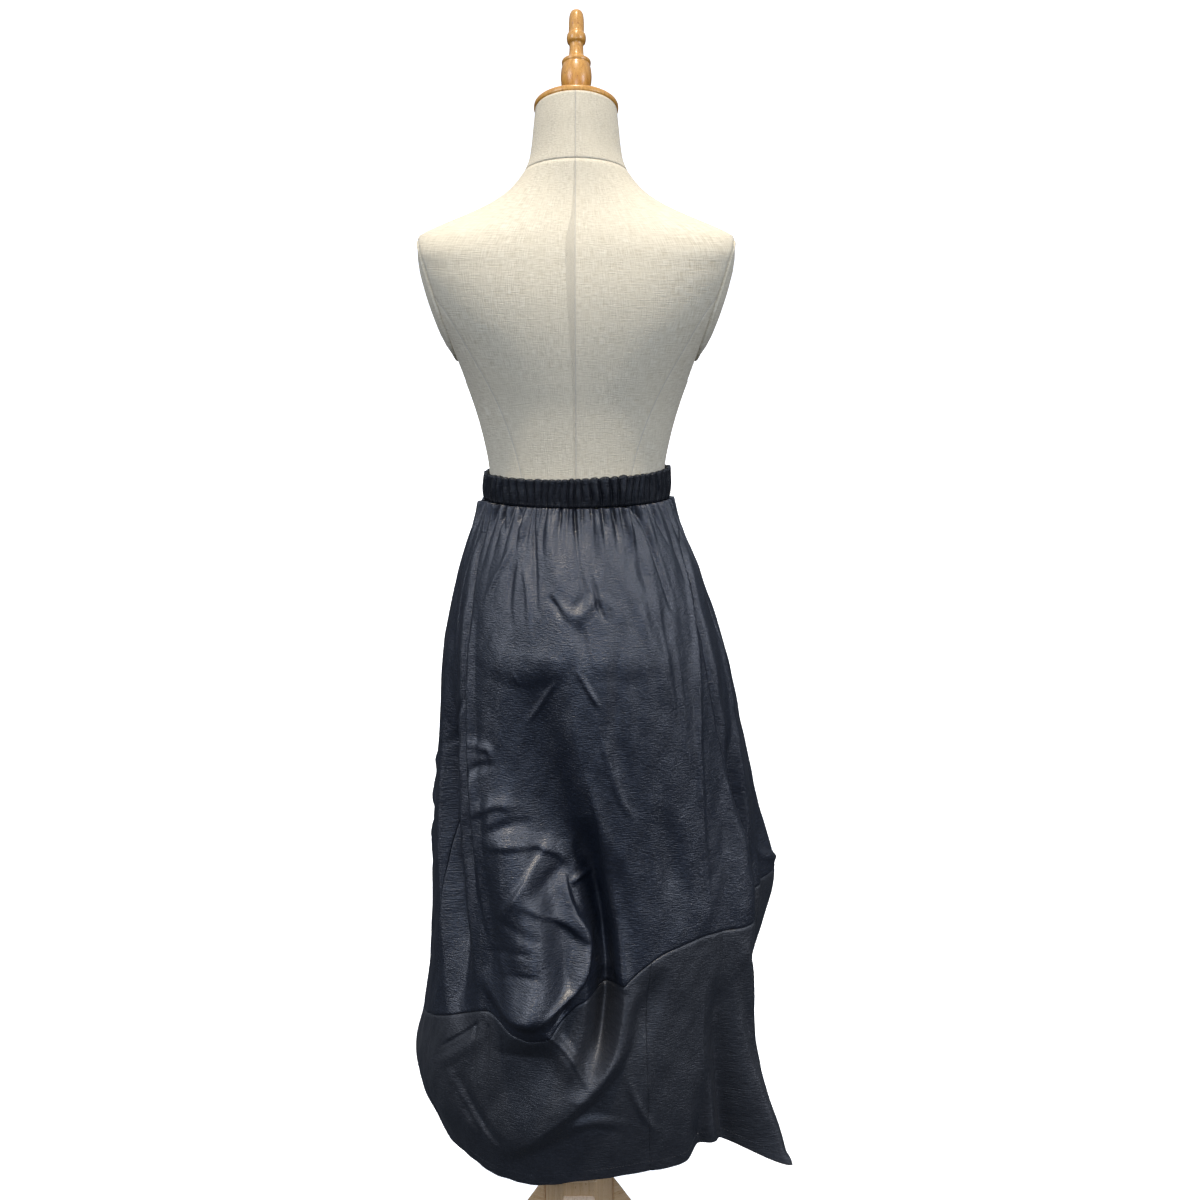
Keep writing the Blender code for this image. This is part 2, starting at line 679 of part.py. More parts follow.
def base_plate(finish):
    """The oval board under the torso that the pole is fixed to."""
    foot = TORSO_SECTIONS[0]
    top = WAIST_Z + foot.drop - SEAM_GAP
    turn = [2 * math.pi * c / FORM_COLUMNS for c in range(FORM_COLUMNS)]
    points = []
    for z in (top - BASE_PLATE_THICK, top):
        for t in turn:
            depth = foot.back if math.cos(t) > 0 else foot.front
            points.append((
                AXIS_X + BASE_PLATE_SHARE * foot.half * math.sin(t),
                AXIS_Y - BASE_PLATE_SHARE * depth * math.cos(t),
                z,
            ))
    count = FORM_COLUMNS
    faces = [tuple(reversed(range(count))), tuple(range(count, 2 * count))]
    faces += [(c, (c + 1) % count, count + (c + 1) % count, count + c) for c in range(count)]
    add_object("base_plate", points, faces, finish)


def pole_and_hub(finish):
    pole_top = WAIST_Z + TORSO_SECTIONS[0].drop - BASE_PLATE_THICK - 2 * SEAM_GAP
    pole_foot = HUB_TOP + SEAM_GAP
    radius = POLE_RADIUS * 1000
    pole = turned("pole", ((0, radius), ((pole_top - pole_foot) * 1000, radius)), finish)
    pole.location = (AXIS_X, AXIS_Y, pole_foot)
    height = (HUB_TOP - HUB_FOOT) * 1000
    corner, rounding = HUB_HALF * 1000 / math.cos(math.pi / HUB_SIDES), HUB_ROUND * 1000
    profile = ((0, corner - rounding), (rounding, corner), (height - rounding, corner), (height, corner - rounding))
    hub = turned("stand_hub", profile, finish, columns=HUB_SIDES)
    hub.location = (AXIS_X, AXIS_Y, HUB_FOOT)


def bezier(points, steps):
    """Points along a cubic curve with two end points and two handles, without the last one."""
    made = []
    for k in range(steps):
        t = k / steps
        weights = ((1 - t) ** 3, 3 * t * (1 - t) ** 2, 3 * t * t * (1 - t), t**3)
        made.append(tuple(sum(w * p[i] for w, p in zip(weights, points)) for i in (0, 1)))
    return made


def leg_outline():
    """The side of a leg as (distance from the axis, height): a board sawn to a curve that ends in a flat foot."""
    root = HUB_HALF + SEAM_GAP
    upper = bezier(
        ((root, LEG_TOP), (0.28 * LEG_REACH, 0.74 * LEG_TOP), (0.46 * LEG_REACH, 0.16 * LEG_TOP),
         (LEG_REACH, FOOT_HEIGHT)),
        10,
    )
    foot = [(LEG_REACH, FOOT_HEIGHT), (LEG_REACH, 0.0)]
    lower = bezier(
        ((LEG_REACH - FOOT_LENGTH, 0.0), (0.52 * LEG_REACH, 0.10 * LEG_UNDER), (0.26 * LEG_REACH, 0.30 * LEG_UNDER),
         (root, LEG_UNDER)),
        8,
    )
    return upper + foot + lower + [(root, LEG_UNDER)]


def stand_legs(finish):
    outline = leg_outline()
    count = len(outline)
    points = [(LEG_THICK / 2 * side, -r, z) for side in (1, -1) for r, z in outline]
    faces = [tuple(range(count)), tuple(reversed(range(count, 2 * count)))]
    faces += [(c, count + c, count + (c + 1) % count, (c + 1) % count) for c in range(count)]
    for number, angle in enumerate(LEG_ANGLES, start=1):
        leg = add_object(f"stand_leg_{number}", points, faces, finish, smooth=False)
        leg.rotation_euler = (0, 0, math.radians(angle))
        leg.location = (AXIS_X, AXIS_Y, 0)
        rounding = leg.modifiers.new("eased edges", "BEVEL")
        rounding.width = LEG_ROUND
        rounding.segments = 1
        rounding.limit_method = "ANGLE"
        rounding.angle_limit = math.radians(60)


def main():
    clear_scene()
    satin = material("satin", SATIN_COLOUR, 0.42)
    linen = material("linen", LINEN_COLOUR, 0.90)
    wood = material("wood", WOOD_COLOUR, 0.40)
    skirt(satin)
    form_body("form_torso", TORSO_SECTIONS, linen)
    form_body("form_neck", NECK_SECTIONS, linen)
    armhole_plate("armhole_plate_left", -1, linen)
    armhole_plate("armhole_plate_right", 1, linen)
    neck_cap(wood)
    base_plate(wood)
    pole_and_hub(wood)
    stand_legs(wood)


main()
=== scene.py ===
"""Looks of a dark satin maxi skirt on a linen dress form with a beech stand: finishes, seams, creases, light.
Metres, +Z up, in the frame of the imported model. The back of the form and of the skirt faces -Y.

Angles go round the form in degrees: 0 is the middle of the back, 90 is +X, 180 is the middle of the front.
A drop is a height counted from the waist line, so what hangs below the waist has a negative drop."""

import math
from collections import namedtuple

import bpy
import numpy as np
from mathutils import Matrix, Vector


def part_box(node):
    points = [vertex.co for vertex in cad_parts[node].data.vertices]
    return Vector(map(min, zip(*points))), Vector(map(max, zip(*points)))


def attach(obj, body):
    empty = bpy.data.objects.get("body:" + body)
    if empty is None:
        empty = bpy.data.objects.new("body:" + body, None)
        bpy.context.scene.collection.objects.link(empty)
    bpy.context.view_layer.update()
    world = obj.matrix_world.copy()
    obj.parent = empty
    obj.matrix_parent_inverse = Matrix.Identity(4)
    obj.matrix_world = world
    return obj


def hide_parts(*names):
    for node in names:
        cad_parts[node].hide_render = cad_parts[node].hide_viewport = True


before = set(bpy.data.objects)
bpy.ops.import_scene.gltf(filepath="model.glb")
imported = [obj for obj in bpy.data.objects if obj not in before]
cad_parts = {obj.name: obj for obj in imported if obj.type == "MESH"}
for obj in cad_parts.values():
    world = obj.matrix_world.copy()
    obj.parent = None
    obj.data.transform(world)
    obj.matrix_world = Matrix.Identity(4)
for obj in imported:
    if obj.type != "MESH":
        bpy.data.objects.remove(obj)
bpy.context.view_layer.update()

# STAND. Three beech legs sawn to a curve and glued to a hexagonal hub, a turned pole, and an oval board
# screwed under the torso. All of it is sanded and rubbed with a clear satin varnish.
pole_low, pole_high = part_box("pole")
AXIS_X = (pole_low.x + pole_high.x) / 2
AXIS_Y = (pole_low.y + pole_high.y) / 2
WAIST_Z = 1.150
SEAM_GAP = 0.0003

POLE_RADIUS = 0.0150
HUB_HALF = 0.0400
HUB_TOP = 0.2280
HUB_FOOT = 0.0950
HUB_ROUND = 0.0050
BOARD_SHARE = 0.94
BOARD_THICK = 0.012
BOARD_ROUND = 0.003
BOARD_COLUMNS = 96
BOARD_TOP = WAIST_Z - 0.2703
LEG_ANGLES = (0, 120, 240)
LEG_THICK = 0.0440
LEG_REACH = 0.2850
LEG_TOP = 0.2080
LEG_UNDER = 0.1050
LEG_ROUND = 0.0035
FOOT_LENGTH = 0.0420
FOOT_HEIGHT = 0.0180

GRAIN_ALONG = 0.070
GRAIN_ACROSS = 0.0026
FLECK_ALONG = 0.0050
FLECK_ACROSS = 0.0011


def colour(code):
    """An sRGB hex colour turned to Blender's linear one."""
    parts = [int(code[k:k + 2], 16) / 255 for k in (1, 3, 5)]
    linear = [p / 12.92 if p <= 0.04045 else ((p + 0.055) / 1.055) ** 2.4 for p in parts]
    return (*linear, 1.0)


def add_node(tree, kind, inputs, **settings):
    """One node with its settings. An input takes a value, or the output socket that feeds it."""
    node = tree.nodes.new(kind)
    for name, value in settings.items():
        setattr(node, name, value)
    for name, value in inputs.items():
        if isinstance(value, bpy.types.NodeSocket):
            tree.links.new(value, node.inputs[name])
        else:
            node.inputs[name].default_value = value
    return node


def new_material(name):
    made = bpy.data.materials.new(name)
    made.use_nodes = True
    return made, made.node_tree, made.node_tree.nodes["Principled BSDF"]


def blend_colours(tree, share, first, second):
    """The colour between two others, or between a colour and another node's output."""
    mix = add_node(tree, "ShaderNodeMix", {0: share, 6: first, 7: second}, data_type="RGBA")
    return mix.outputs[2]


def set_bump(tree, shader, height, distance, strength=1.0):
    bump = add_node(tree, "ShaderNodeBump", {"Height": height, "Distance": distance, "Strength": strength})
    tree.links.new(bump.outputs["Normal"], shader.inputs["Normal"])


def beech(name, light, dark, fleck, along, turn=0.0, roughness=0.42, varnish=0.25):
    """Beech: fine straight grain with short brown flecks under a clear varnish. Along is the grain's axis."""
    made, tree, shader = new_material(name)
    place = add_node(tree, "ShaderNodeTexCoord", {}).outputs["Object"]
    grain_size = [GRAIN_ALONG if axis == along else GRAIN_ACROSS for axis in "XYZ"]
    fleck_size = [FLECK_ALONG if axis == along else FLECK_ACROSS for axis in "XYZ"]
    turned_by = (0, 0, math.radians(turn))
    grain_place = add_node(
        tree, "ShaderNodeMapping", {"Vector": place, "Rotation": turned_by, "Scale": grain_size},
        vector_type="TEXTURE",
    )
    fleck_place = add_node(
        tree, "ShaderNodeMapping", {"Vector": place, "Rotation": turned_by, "Scale": fleck_size},
        vector_type="TEXTURE",
    )
    grain = add_node(
        tree, "ShaderNodeTexNoise",
        {"Vector": grain_place.outputs[0], "Scale": 1.0, "Detail": 5.0, "Roughness": 0.6, "Distortion": 0.6},
    ).outputs["Fac"]
    spots = add_node(
        tree, "ShaderNodeTexNoise", {"Vector": fleck_place.outputs[0], "Scale": 1.0, "Detail": 1.0},
    ).outputs["Fac"]
    banded = add_node(tree, "ShaderNodeMapRange", {"Value": grain, "From Min": 0.32, "From Max": 0.68})
    flecked = add_node(tree, "ShaderNodeMapRange", {"Value": spots, "From Min": 0.64, "From Max": 0.74})
    wood = blend_colours(tree, banded.outputs[0], colour(dark), colour(light))
    wood = blend_colours(tree, flecked.outputs[0], wood, colour(fleck))
    tree.links.new(wood, shader.inputs["Base Color"])
    shader.inputs["Roughness"].default_value = roughness
    shader.inputs["Coat Weight"].default_value = varnish
    shader.inputs["Coat Roughness"].default_value = 0.22
    set_bump(tree, shader, grain, 0.0002, 0.5)
    return made


def make_object(name, points, faces, finish, smooth=True):
    mesh = bpy.data.meshes.new(name)
    mesh.from_pydata(np.asarray(points).tolist(), [], faces)
    mesh.materials.append(finish)
    if smooth:
        mesh.shade_smooth()
    obj = bpy.data.objects.new(name, mesh)
    bpy.context.scene.collection.objects.link(obj)
    return obj


def settle(obj):
    """Applies an object's modifiers and its place to its mesh."""
    bpy.context.view_layer.update()
    evaluated = obj.evaluated_get(bpy.context.evaluated_depsgraph_get())
    mesh = bpy.data.meshes.new_from_object(evaluated)
    mesh.transform(obj.matrix_world)
    obj.modifiers.clear()
    obj.data = mesh
    obj.matrix_world = Matrix.Identity(4)
    return obj


def ease_edges(obj, width):
    bevel = obj.modifiers.new("eased edges", "BEVEL")
    bevel.width = width
    bevel.segments = 3
    bevel.limit_method = "ANGLE"
    bevel.angle_limit = math.radians(50)
    bevel.harden_normals = True
    return settle(obj)


def stand_for(obj, slot, *nodes):
    """The piece takes the place of CAD nodes, on the part's one body."""
    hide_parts(*nodes)
    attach(obj, "root")
    return obj


def ring_faces(rings, columns):
    """Faces between closed rings of points that rise, with a lid at each end."""
    faces = [tuple(reversed(range(columns)))]
    for r in range(rings - 1):
        for c in range(columns):
            a, b, d = r * columns, (r + 1) * columns, (c + 1) % columns
            faces.append((a + c, a + d, b + d, b + c))
    top = (rings - 1) * columns
    faces.append(tuple(range(top, top + columns)))
    return faces


def turned(name, profile, finish, columns=72):
    """A piece turned on a lathe from (distance along +Z, radius) pairs in metres."""
    points = [
        (radius * math.cos(2 * math.pi * c / columns), radius * math.sin(2 * math.pi * c / columns), along)
        for along, radius in profile
        for c in range(columns)
    ]
    return make_object(name, points, ring_faces(len(profile), columns), finish)


def bezier(points, steps):
    """Points along a cubic curve with two end points and two handles, without the last one."""
    made = []
    for k in range(steps):
        t = k / steps
        weights = ((1 - t) ** 3, 3 * t * (1 - t) ** 2, 3 * t * t * (1 - t), t**3)
        made.append(tuple(sum(w * p[i] for w, p in zip(weights, points)) for i in (0, 1)))
    return made


STAND_COLOURS = "#DDBE93", "#C9A374", "#B3875A"
upright_beech = beech("stand_beech_upright", *STAND_COLOURS, along="Z")
board_beech = beech("stand_beech_board", *STAND_COLOURS, along="X")

pole_top = BOARD_TOP - BOARD_THICK - SEAM_GAP
pole = turned("pole_turned", ((HUB_TOP + SEAM_GAP, POLE_RADIUS), (pole_top, POLE_RADIUS)), upright_beech)
pole.location = (AXIS_X, AXIS_Y, 0)
stand_for(ease_edges(pole, 0.001), "stand_wood", "pole")

hub_corner = HUB_HALF / math.cos(math.pi / 6)
hub = turned("hub", ((HUB_FOOT, hub_corner), (HUB_TOP, hub_corner)), upright_beech, columns=6)
hub.data.shade_flat()
hub.location = (AXIS_X, AXIS_Y, 0)
stand_for(ease_edges(hub, HUB_ROUND), "stand_wood", "stand_hub")

TORSO_FOOT = 0.1480, 0.1060, 0.0900
half, back, front = (BOARD_SHARE * size for size in TORSO_FOOT)
board_turn = [2 * math.pi * c / BOARD_COLUMNS for c in range(BOARD_COLUMNS)]
board_points = [
    (AXIS_X + half * math.sin(t), AXIS_Y - (back if math.cos(t) > 0 else front) * math.cos(t), z)
    for z in (BOARD_TOP - BOARD_THICK, BOARD_TOP)
    for t in board_turn
]
board = make_object("torso_board", board_points, ring_faces(2, BOARD_COLUMNS), board_beech)
stand_for(ease_edges(board, BOARD_ROUND), "stand_wood", "base_plate")

leg_root = HUB_HALF + SEAM_GAP
leg_side = (
    bezier(
        ((leg_root, LEG_TOP), (0.28 * LEG_REACH, 0.74 * LEG_TOP),
         (0.46 * LEG_REACH, 0.16 * LEG_TOP), (LEG_REACH, FOOT_HEIGHT)),
        22,
    )
    + [(LEG_REACH, FOOT_HEIGHT), (LEG_REACH, 0.0)]
    + bezier(
        ((LEG_REACH - FOOT_LENGTH, 0.0), (0.52 * LEG_REACH, 0.10 * LEG_UNDER),
         (0.26 * LEG_REACH, 0.30 * LEG_UNDER), (leg_root, LEG_UNDER)),
        18,
    )
    + [(leg_root, LEG_UNDER)]
)
count = len(leg_side)
leg_points = [(LEG_THICK / 2 * side, -reach, z) for side in (1, -1) for reach, z in leg_side]
leg_faces = [tuple(range(count)), tuple(reversed(range(count, 2 * count)))]
leg_faces += [(c, count + c, count + (c + 1) % count, (c + 1) % count) for c in range(count)]
for number, angle in enumerate(LEG_ANGLES, start=1):
    leg_beech = beech(f"stand_beech_leg_{number}", *STAND_COLOURS, along="Y", turn=angle)
    leg = make_object(f"leg_{number}", leg_points, leg_faces, leg_beech)
    leg.rotation_euler = (0, 0, math.radians(angle))
    leg.location = (AXIS_X, AXIS_Y, 0)
    stand_for(ease_edges(leg, LEG_ROUND), "stand_wood", f"stand_leg_{number}")
    # No orange gleam of the leg in the satin above it
    leg.visible_glossy = False


# FORM. A padded torso and neck under natural linen, cut in panels that meet at the middle, at the princess
# lines and at the sides. An oval plate covered with the same linen closes each armhole.
FormSection = namedtuple("FormSection", "drop half back front exponent shift tilt")
TORSO_SECTIONS = (
    FormSection(-0.270, 0.1480, 0.1060, 0.0900, 2.0, 0.000, 0),
    FormSection(-0.240, 0.1530, 0.1140, 0.0930, 2.0, 0.000, 0),
    FormSection(-0.200, 0.1550, 0.1190, 0.0950, 2.0, 0.000, 0),
    FormSection(-0.150, 0.1460, 0.1120, 0.0960, 2.0, 0.000, 0),
    FormSection(-0.100, 0.1310, 0.0980, 0.0930, 2.0, 0.000, 0),
    FormSection(-0.070, 0.1200, 0.0880, 0.0900, 2.0, 0.000, 0),
    FormSection(-0.040, 0.1095, 0.0820, 0.0860, 2.0, 0.000, 0),
    FormSection(-0.020, 0.1065, 0.0800, 0.0840, 2.0, 0.000, 0),
    FormSection(0.013, 0.1065, 0.0800, 0.0840, 2.0, 0.000, 0),
    FormSection(0.056, 0.1140, 0.0830, 0.0880, 2.0, 0.000, 0),
    FormSection(0.094, 0.1245, 0.0880, 0.0950, 2.0, 0.000, 0),
    FormSection(0.130, 0.1375, 0.0950, 0.1040, 2.1, 0.000, 0),
    FormSection(0.165, 0.1540, 0.1010, 0.1120, 2.2, 0.000, 0),
    FormSection(0.195, 0.1690, 0.1040, 0.1150, 2.3, 0.000, 0),
    FormSection(0.225, 0.1810, 0.1040, 0.1120, 2.4, 0.000, 1),
    FormSection(0.252, 0.1890, 0.1000, 0.1020, 2.5, 0.000, 2),
    FormSection(0.276, 0.1925, 0.0930, 0.0880, 2.5, 0.000, 4),
    FormSection(0.290, 0.1850, 0.0860, 0.0760, 2.3, 0.000, 6),
    FormSection(0.301, 0.1620, 0.0790, 0.0670, 2.1, 0.000, 8),
    FormSection(0.312, 0.1340, 0.0730, 0.0610, 2.0, 0.001, 10),
    FormSection(0.323, 0.1080, 0.0680, 0.0580, 2.0, 0.002, 12),
    FormSection(0.335, 0.0870, 0.0640, 0.0570, 2.0, 0.003, 14),
    FormSection(0.348, 0.0725, 0.0610, 0.0560, 2.0, 0.004, 15),
    FormSection(0.362, 0.0615, 0.0580, 0.0550, 2.0, 0.005, 16),
)
NECK_SECTIONS = (
    FormSection(0.3624, 0.0612, 0.0577, 0.0547, 2.0, 0.005, 16),
    FormSection(0.374, 0.0560, 0.0550, 0.0540, 2.0, 0.006, 18),
    FormSection(0.392, 0.0525, 0.0530, 0.0530, 2.0, 0.009, 20),
    FormSection(0.412, 0.0503, 0.0515, 0.0520, 2.0, 0.012, 22),
    FormSection(0.434, 0.0480, 0.0495, 0.0500, 2.0, 0.016, 24),
)
FORM_COLUMNS = 220
FORM_RADIUS = 0.16
SIDE_SEAM_AHEAD = 0.004
BUST_HEIGHT = 0.205
BUST_SIDE = 0.070
BUST_RISE = 0.024
BUST_REACH = 0.110
PLATE_TOP = (0.1880, 0.286)
PLATE_FOOT = (0.1430, 0.144)
PLATE_THICK = 0.0035
PLATE_DEPTH = 0.050
PLATE_COLUMNS = 72

Level = namedtuple("Level", "drop away")
# Distance of the princess seams from the middle, on the back and on the front
BACK_PRINCESS = (
    Level(-0.27, 0.060), Level(0.000, 0.062), Level(0.045, 0.072), Level(0.100, 0.092),
    Level(0.160, 0.124), Level(0.215, 0.158), Level(0.260, 0.200),
)
FRONT_PRINCESS = (
    Level(-0.27, 0.058), Level(0.000, 0.054), Level(0.100, 0.064), Level(0.205, 0.071),
    Level(0.290, 0.080), Level(0.362, 0.090),
)
SEAM_WIDTH = 0.0009
THREAD_WIDTH = 0.0013
THREAD_RUN = 0.014


def smooth_through(x, xs, ys):
    """A smooth curve through the points (xs, ys), read at x. Each slope comes from the two neighbours."""
    slopes = np.gradient(ys, xs)
    i = np.clip(np.searchsorted(xs, x, side="right") - 1, 0, len(xs) - 2)
    step = xs[i + 1] - xs[i]
    t = np.clip((x - xs[i]) / step, 0.0, 1.0)
    return (
        ys[i] * (1 + 2 * t) * (1 - t) ** 2
        + ys[i + 1] * t * t * (3 - 2 * t)
        + slopes[i] * step * t * (1 - t) ** 2
        - slopes[i + 1] * step * t * t * (1 - t)
    )


def read_rows(rows, at, key, *fields):
    """Each named field of a table's rows, smoothed along their key and read at the places asked for."""
    order = np.argsort([getattr(row, key) for row in rows])
    keys = np.array([getattr(rows[k], key) for k in order], float)
    return [smooth_through(at, keys, np.array([getattr(rows[k], f) for k in order], float)) for f in fields]


def plate_limit(drop):
    """How far out the torso may reach behind an armhole plate, at each drop."""
    (top_x, top_drop), (foot_x, foot_drop) = PLATE_TOP, PLATE_FOOT
    slope = (top_x - foot_x) / (top_drop - foot_drop)
    return foot_x + slope * (drop - foot_drop) - PLATE_THICK - SEAM_GAP


def form_surface(sections, drops, columns):
    """The form's rings as a grid of points from the axis and the waist. The sections say how square each ring
    is and how far it leans."""
    half, back, front, exponent, shift, tilt = (
        column[:, None]
        for column in read_rows(sections, drops, "drop", "half", "back", "front", "exponent", "shift", "tilt")
    )
    turn = np.radians(np.arange(columns) * 360.0 / columns)[None, :]
    power = 2.0 / exponent
    x = half * np.sign(np.sin(turn)) * np.abs(np.sin(turn)) ** power
    depth = np.where(np.cos(turn) > 0, back, front)
    y = -depth * np.sign(np.cos(turn)) * np.abs(np.cos(turn)) ** power
    lean = np.radians(tilt)
    drop = drops[:, None] - y * np.sin(lean)
    y = shift + y * np.cos(lean)
    away = np.hypot(np.abs(x) - BUST_SIDE, drop - BUST_HEIGHT) / BUST_REACH
    y = y + np.where(y > 0, BUST_RISE * np.clip(1 - away**2, 0, None) ** 2, 0)
    behind_plate = (drop > PLATE_FOOT[1] - 0.02) & (drop < PLATE_TOP[1] + 0.01)
    x = np.where(behind_plate, np.clip(x, -plate_limit(drop), plate_limit(drop)), x)
    return x, y, drop


def set_attribute(obj, name, values):
    made = obj.data.attributes.new(name, "FLOAT", "POINT")
    made.data.foreach_set("value", np.asarray(values, np.float32).ravel())


def set_cloth_map(obj, across, down):
    """A UV map in metres that lies on the cloth as it was woven, from a value at each point of the mesh."""
    corners = np.zeros(len(obj.data.loops), np.int32)
    obj.data.loops.foreach_get("vertex_index", corners)
    places = np.stack([across.ravel()[corners], down.ravel()[corners]], -1).astype(np.float32)
    obj.data.uv_layers.new(name="cloth").data.foreach_set("uv", places.ravel())


def form_linen(name, seamed):
    """Natural linen, matt and a little fuzzy: a plain weave of uneven threads, at twice their real width so
    that they show. On a seamed cover a fine groove runs where a distance kept on the mesh is nought."""
    made, tree, shader = new_material(name)
    place = add_node(tree, "ShaderNodeUVMap", {}, uv_map="cloth").outputs[0]
    threads = []
    for sizes in ((THREAD_RUN, THREAD_WIDTH, 1), (THREAD_WIDTH, THREAD_RUN, 1)):
        run = add_node(tree, "ShaderNodeMapping", {"Vector": place, "Scale": sizes}, vector_type="TEXTURE")
        noise = add_node(
            tree, "ShaderNodeTexNoise",
            {"Vector": run.outputs[0], "Scale": 1.0, "Detail": 2.0, "Roughness": 0.55},
        )
        threads.append(noise.outputs["Fac"])
    weave = add_node(tree, "ShaderNodeMath", {0: threads[0], 1: threads[1]}, operation="ADD").outputs[0]
    shown = add_node(
        tree, "ShaderNodeMapRange", {"Value": weave, "From Min": 0.72, "From Max": 1.28}
    ).outputs[0]
    patches = add_node(
        tree, "ShaderNodeTexNoise", {"Vector": place, "Scale": 14.0, "Detail": 3.0, "Roughness": 0.5}
    ).outputs["Fac"]
    cloth = blend_colours(tree, shown, colour("#C0B190"), colour("#FAF0D6"))
    cloth = blend_colours(tree, patches, cloth, colour("#E8DBBC"))
    height = shown
    if seamed:
        nearest = None
        for seam in ("middle_seam", "princess_seam", "side_seam"):
            away = add_node(tree, "ShaderNodeAttribute", {}, attribute_name=seam).outputs["Fac"]
            away = add_node(tree, "ShaderNodeMath", {0: away}, operation="ABSOLUTE").outputs[0]
            if nearest is None:
                nearest = away
            else:
                nearest = add_node(
                    tree, "ShaderNodeMath", {0: nearest, 1: away}, operation="MINIMUM"
                ).outputs[0]
        beside = add_node(
            tree, "ShaderNodeMapRange",
            {"Value": nearest, "From Min": 0.3 * SEAM_WIDTH, "From Max": SEAM_WIDTH},
        ).outputs[0]
        rounded = add_node(
            tree, "ShaderNodeMapRange",
            {"Value": nearest, "From Min": 0.0, "From Max": 4 * SEAM_WIDTH, "To Max": 1.5},
            interpolation_type="SMOOTHSTEP",
        ).outputs[0]
        cloth = blend_colours(tree, beside, colour("#D2C8B2"), cloth)
        height = add_node(tree, "ShaderNodeMath", {0: shown, 1: rounded}, operation="ADD").outputs[0]
    tree.links.new(cloth, shader.inputs["Base Color"])
    shader.inputs["Roughness"].default_value = 0.92
    shader.inputs["Sheen Weight"].default_value = 0.15
    set_bump(tree, shader, height, 0.00035, 0.8)
    return made


def form_piece(name, sections, rows, finish, node):
    """One closed body of the form, through its sections."""
    drops = np.linspace(sections[0].drop, sections[-1].drop, rows)
    x, y, drop = form_surface(sections, drops, FORM_COLUMNS)
    points = np.stack([AXIS_X + x, AXIS_Y + y, WAIST_Z + drop], -1).reshape(-1, 3)
    obj = make_object(name, points, ring_faces(rows, FORM_COLUMNS), finish)
    arc = np.unwrap(np.arctan2(x, -y), axis=1) * FORM_RADIUS
    set_cloth_map(obj, arc, drop)
    behind, ahead = (read_rows(rows, drop, "drop", "away")[0] for rows in (BACK_PRINCESS, FRONT_PRINCESS))
    princess = np.where(y < 0, behind, ahead)
    set_attribute(obj, "middle_seam", x)
    set_attribute(obj, "princess_seam", np.abs(x) - princess)
    set_attribute(obj, "side_seam", y - SIDE_SEAM_AHEAD)
    return stand_for(obj, "linen", node)


seamed_linen = form_linen("linen_seamed", True)
plain_linen = form_linen("linen", False)
form_piece("torso", TORSO_SECTIONS, 150, seamed_linen, "form_torso")
form_piece("neck", NECK_SECTIONS, 30, seamed_linen, "form_neck")

Ring = namedtuple("Ring", "share out")
PLATE_RINGS = (
    Ring(1.000, -0.0035), Ring(1.000, -0.0012), Ring(0.992, 0.0002), Ring(0.970, 0.0010), Ring(0.945, 0.0006),
    Ring(0.925, 0.0008), Ring(0.860, 0.0028), Ring(0.740, 0.0055), Ring(0.580, 0.0077), Ring(0.380, 0.0090),
    Ring(0.180, 0.0096), Ring(0.050, 0.0098),
)
(top_x, top_drop), (foot_x, foot_drop) = PLATE_TOP, PLATE_FOOT
plate_height = math.hypot(top_x - foot_x, top_drop - foot_drop)
plate_lean = math.atan2(top_x - foot_x, top_drop - foot_drop)
for side, side_name in ((-1, "left"), (1, "right")):
    turn = np.radians(np.arange(PLATE_COLUMNS) * 360.0 / PLATE_COLUMNS) * side
    points = [
        (side * ring.out, ring.share * PLATE_DEPTH * math.cos(t), ring.share * plate_height / 2 * math.sin(t))
        for ring in PLATE_RINGS
        for t in turn
    ]
    plate_faces = ring_faces(len(PLATE_RINGS), PLATE_COLUMNS)
    plate = make_object(f"armhole_cover_{side_name}", points, plate_faces, plain_linen)
    set_cloth_map(plate, np.array([p[1] for p in points]), np.array([p[2] for p in points]))
    plate.rotation_euler = (0, side * plate_lean, 0)
    plate.location = (
        AXIS_X + side * (top_x + foot_x) / 2, AXIS_Y, WAIST_Z + (top_drop + foot_drop) / 2
    )
    stand_for(settle(plate), "linen", f"armhole_plate_{side_name}")


# NECK CAP. A disc of beech that closes the neck and a finial above it, both turned on a lathe and varnished
# until they are honey coloured and glossy. They stand square to the leaning top of the neck.
CAP_PROFILE = (
    (0.0, 47.6), (0.8, 49.0), (2.0, 49.5), (4.8, 49.5), (6.4, 49.1), (7.6, 48.0), (8.3, 46.0), (8.8, 41.0),
    (9.1, 32.0), (9.4, 22.0), (9.5, 18.0),
)
FINIAL_PROFILE = (
    (0, 14.5), (3.5, 15.5), (6, 13.5), (8, 11.6), (10.5, 12.4), (16, 15.2), (24, 17.4), (33, 18.2),
    (42, 17.6), (48, 16.4), (50, 17.0), (53.5, 16.8), (56, 13.0), (59, 9.6), (66, 8.4), (75, 8.4),
    (78, 10.6), (83, 11.4), (88, 10.8), (91, 9.2), (104, 9.0), (113, 8.2), (118, 6.2), (120, 3.0),
)


def smooth_profile(profile, steps):
    """A turned profile in millimetres, made smooth and given in metres."""
    knots = np.arange(len(profile), dtype=float)
    fine = np.linspace(0, len(profile) - 1, steps * (len(profile) - 1) + 1)
    along = smooth_through(fine, knots, np.array([p[0] for p in profile], float))
    radius = smooth_through(fine, knots, np.array([p[1] for p in profile], float))
    return list(zip(along / 1000, radius / 1000))


